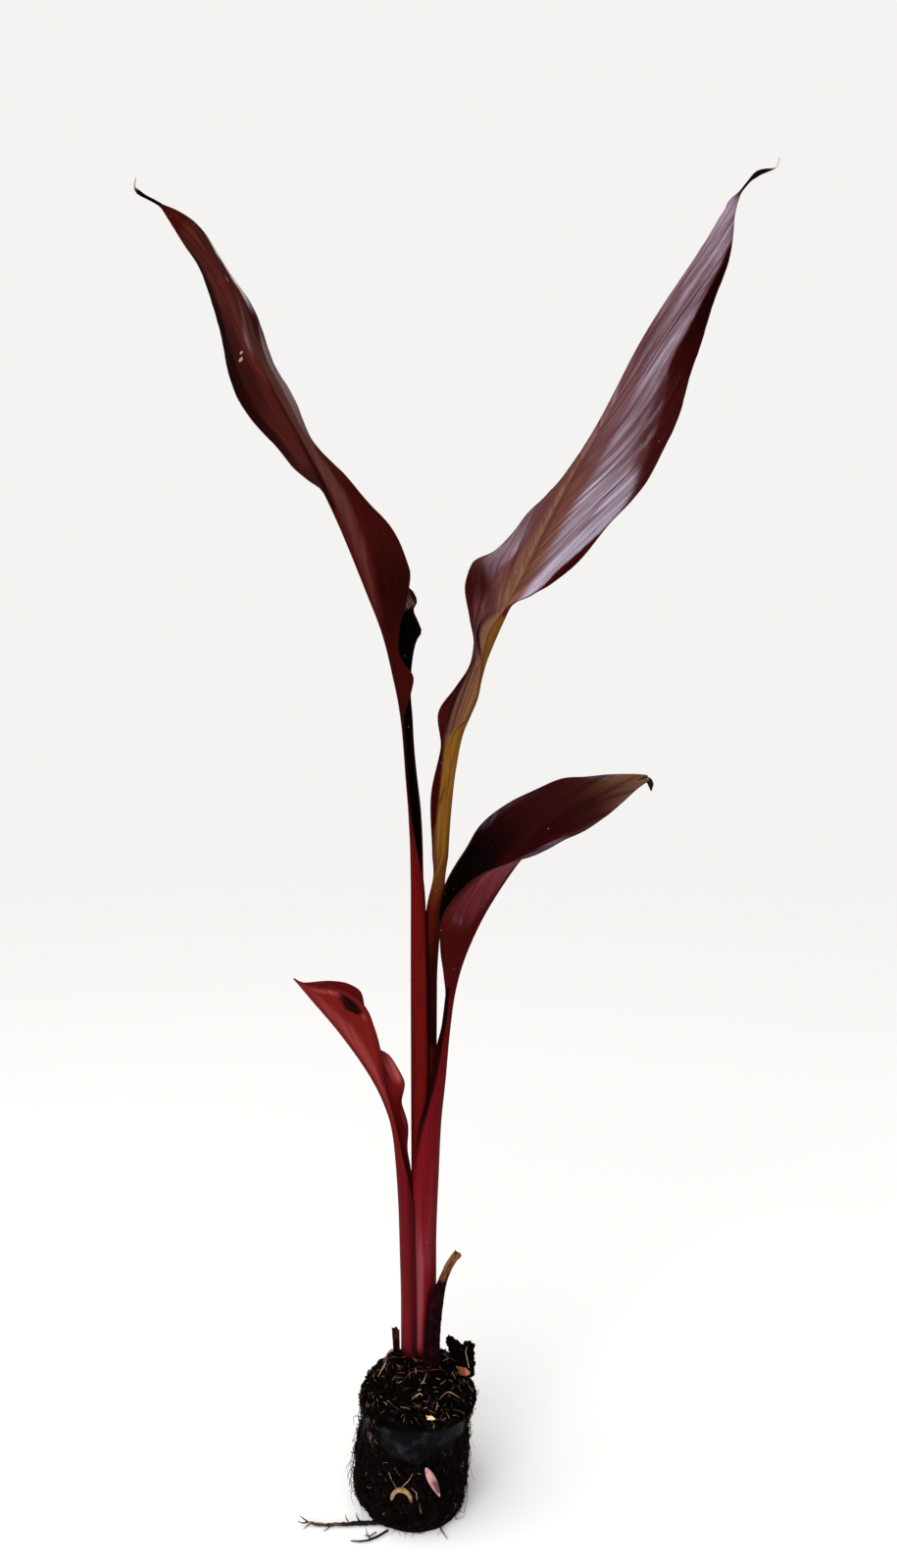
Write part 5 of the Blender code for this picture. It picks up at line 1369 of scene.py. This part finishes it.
def stray_paint():
    """Old root: black near the ball, pinkish brown towards its free end."""
    paint = Paint("stray root")
    clouds = paint.noise(paint.place(), 300.0, 4.0, 0.6)
    light = paint.mix(clouds.step(0.46, 0.66), (50, 28, 24), (150, 106, 92))
    free = (paint.place_x() + (clouds - 0.5) * 0.02).step(-0.030, -0.038)
    return paint.finish(Base_Color=paint.mix(free, (18, 10, 9), light), Roughness=0.75 + (clouds - 0.5) * 0.2,
                        Specular_IOR_Level=0.1, Normal=paint.bump(clouds, 0.0004, 0.7))


def dry_paint():
    """Dead sheath: purple black, tan where it has dried at the top."""
    paint = Paint("dry skin")
    dry, across = paint.kept("dry"), paint.kept("across")
    fibres = paint.noise(paint.vector(across * 1.6, dry * 3.0, 0.0), 2.0, 4.0, 0.65)
    clouds = paint.noise(paint.place(), 170.0, 4.0, 0.6)
    colour = paint.mix(clouds.step(0.4, 0.7), (6, 0, 2), (34, 5, 9))
    tan = paint.mix(fibres.step(0.38, 0.68), (66, 34, 20), (146, 98, 64))
    colour = paint.mix((dry + (clouds - 0.5) * 0.3).step(0.76, 0.92), colour, tan)
    colour = paint.mix(fibres.step(0.5, 0.38) * 0.6, colour, (20, 6, 8))
    return paint.finish(Base_Color=colour, Roughness=0.6 + (fibres - 0.5) * 0.3, Specular_IOR_Level=0.02,
                        Normal=paint.bump(fibres + clouds * 0.4, 0.0005, 0.8))


def shoot_paint():
    """The pink bud: pink and cream stripes, dark red low on its right."""
    paint = Paint("pink shoot")
    across, rise = paint.kept("across"), paint.kept("dry")
    stripes = paint.noise(paint.vector(across * 3.0, rise * 2.0, 0.0), 1.6, 3.0)
    clouds = paint.noise(paint.place(), 300.0, 3.0)
    colour = paint.mix(stripes.step(0.4, 0.62), (158, 100, 100), (206, 160, 156))
    low_right = rise.step(0.75, 0.55) * across.step(4.4, 4.9) * rise.step(0.08, 0.22)
    colour = paint.mix(low_right + (clouds - 0.62).step(0.0, 0.1) * 0.5, colour, (92, 26, 34))
    return paint.finish(Base_Color=colour, Roughness=0.45 + (clouds - 0.5) * 0.2,
                        Normal=paint.bump(stripes, 0.0003, 0.5))


def make_root_ball():
    """The ball, its crumbs and fibres, what lies on it and the roots and stumps that leave it."""
    dice = random.Random(PEAT_SEED)
    peat = peat_paint()
    places, normals, moulded = peat_ball(peat)
    spots = peat_tower(peat)
    high = places[:, 2]
    top = np.flatnonzero(high > 53.0)
    wall = np.flatnonzero((high > 3.0) & (high < 52.0) & (moulded < 0.3))
    for chosen, count in zip((top, wall), CRUMBS):
        spots += [places[chosen[dice.randrange(len(chosen))]] for _ in range(count)]
    crumbs("peat_crumbs", dice, spots, CRUMB_SIZE, peat)

    def scattered(chosen, *more):
        return scatter_fibres(dice, places, normals, chosen, *more)

    lines = scattered(top, *TAN_FIBRES[0]) + scattered(wall, *TAN_FIBRES[1])
    strands("tan_fibres", lines, fibre_paint("tan fibre", (150, 112, 90), (74, 48, 40)))
    lines = scattered(top, *PALE_FIBRES[0]) + scattered(wall, *PALE_FIBRES[1])
    pale = fibre_paint("pale fibre", (214, 186, 166), (150, 118, 102))
    strands("pale_fibres", lines, pale)
    lines = scattered(wall, *DARK_FIBRES) + hair_lines(dice, HAIR_ROOTS) + left_tufts(dice, LEFT_TUFTS)
    brown = fibre_paint("brown root", (24, 12, 9), (4, 2, 2))
    strands("dark_fibres", lines, brown)

    wood = fibre_paint("bark chip", (166, 100, 64), (106, 58, 36), 0.65)
    flake = fibre_paint("pale flake", (222, 192, 150), (186, 140, 92), 0.6)
    chip("bark_chip", (19.6, 4.0, 61.0), (11.5, 3.6, 1.1), -22, 58, 0.03, wood)
    chip("pale_flake", (6.3, -22.4, 54.9), (5.8, 2.0, 0.5), -10, 50, 0.03, flake)
    chip("bark_rim", (25.6, -2.0, 54.6), (4.2, 1.6, 0.8), 74, 60, 0.05, wood)
    straw = fibre_paint("straw", (176, 142, 112), (112, 82, 62))
    strands("straws", [on_peat(places, *laid) for laid in STRAWS], straw)
    red = fibre_paint("red root", (112, 50, 36), (60, 24, 20))
    strands("red_roots", [on_peat(places, *laid) for laid in RED_ROOTS], red)

    root = fibre_paint("tan root", (158, 124, 92), (92, 62, 44), 0.6)
    arched_root(root)
    stray_root(stray_paint())
    strands("thin_roots", THIN_ROOTS, brown)
    strands("front_roots", FRONT_ROOTS, pale)
    strands("front_chip", [FRONT_CHIP], root)
    dry = dry_paint()
    dead_stalk(dry)
    bud_scale(dry)
    side_shoot(shoot_paint())


def add_lamp(name, kind, power, beam):
    """A lamp that shines along the beam."""
    lamp = add_object(name, bpy.data.lights.new(name, kind))
    lamp.data.energy = power
    lamp.rotation_euler = beam.to_track_quat("-Z", "Y").to_euler()
    return lamp


def floor_and_light():
    """A pale floor that fades into the pale room, a soft sun from the upper left and a softbox in front."""
    bpy.ops.mesh.primitive_plane_add(size=FLOOR_SIZE, location=(0.0, 0.0, FLOOR_HEIGHT))
    floor = bpy.context.active_object
    floor.name = "floor"
    paint = Paint("pale floor")
    away = paint.node("ShaderNodeVectorMath", {"operation": "LENGTH"}, {0: paint.place()}, output="Value")
    floor.data.materials.append(paint.finish(
        Base_Color=FLOOR_COLOUR, Roughness=0.7, Specular_IOR_Level=0.1, Alpha=away.step(*FLOOR_FADE)
    ))

    world = bpy.data.worlds.new("studio")
    bpy.context.scene.world = world
    world.use_nodes = True
    tree = world.node_tree
    seen, lit = tree.nodes["Background"], tree.nodes.new("ShaderNodeBackground")
    for room, colour, strength in ((seen, ROOM_SEEN, 1.0), (lit, ROOM_LIGHT, ROOM_POWER)):
        room.inputs["Color"].default_value = colour
        room.inputs["Strength"].default_value = strength
    path = tree.nodes.new("ShaderNodeLightPath")
    choose = tree.nodes.new("ShaderNodeMixShader")
    tree.links.new(path.outputs["Is Camera Ray"], choose.inputs[0])
    tree.links.new(lit.outputs[0], choose.inputs[1])
    tree.links.new(seen.outputs[0], choose.inputs[2])
    tree.links.new(choose.outputs[0], tree.nodes["World Output"].inputs[0])

    sun = add_lamp("key", "SUN", SUN_POWER, Vector(SUN_BEAM))
    sun.data.angle = SUN_ANGLE
    beam = Vector(SOFTBOX_TARGET) - Vector(SOFTBOX_PLACE)
    softbox = add_lamp("front softbox", "AREA", SOFTBOX_POWER, beam)
    softbox.data.size = SOFTBOX_SIZE
    softbox.location = SOFTBOX_PLACE


def add_camera():
    """A wide lens in front of the plant, looking slightly down."""
    camera = bpy.data.cameras.new("camera")
    camera.sensor_width = FRAME_WIDTH
    camera.lens = LENS
    camera.clip_start = 0.01
    holder = add_object("camera", camera)
    holder.location = CAMERA_PLACE
    holder.rotation_euler = (math.radians(90 - CAMERA_TILT), 0.0, 0.0)
    bpy.context.scene.camera = holder


floor_and_light()
add_camera()
bpy.context.scene.view_settings.view_transform = "Standard"

grow_leaf(LOWEST_LEAF, "outer_sheath", "lowest_leaf", "crimson_leaf", LOWEST_STREAKS,
          leaf_paint("crimson leaf", CRIMSON, 0.45, 0.03))
grow_leaf(RIGHT_LEAF, "middle_sheath", "right_leaf", "dark_leaf", RIGHT_STREAKS,
          leaf_paint("purple leaf", PURPLE, 0.5, 0.015))
grow_leaf(LEFT_TOP_LEAF, "tall_sheath", "left_top_leaf", "dark_leaf", LEFT_TOP_STREAKS,
          leaf_paint("maroon leaf", MAROON, 0.5, 0.015, LEFT_TOP_SCARS))
grow_leaf(RIGHT_TOP_LEAF, "inner_stalk", "right_top_leaf", "dark_leaf", RIGHT_TOP_STREAKS,
          leaf_paint("sheeny leaf", SHEENY, 0.5, 0.02))

dry_hook()
make_root_ball()
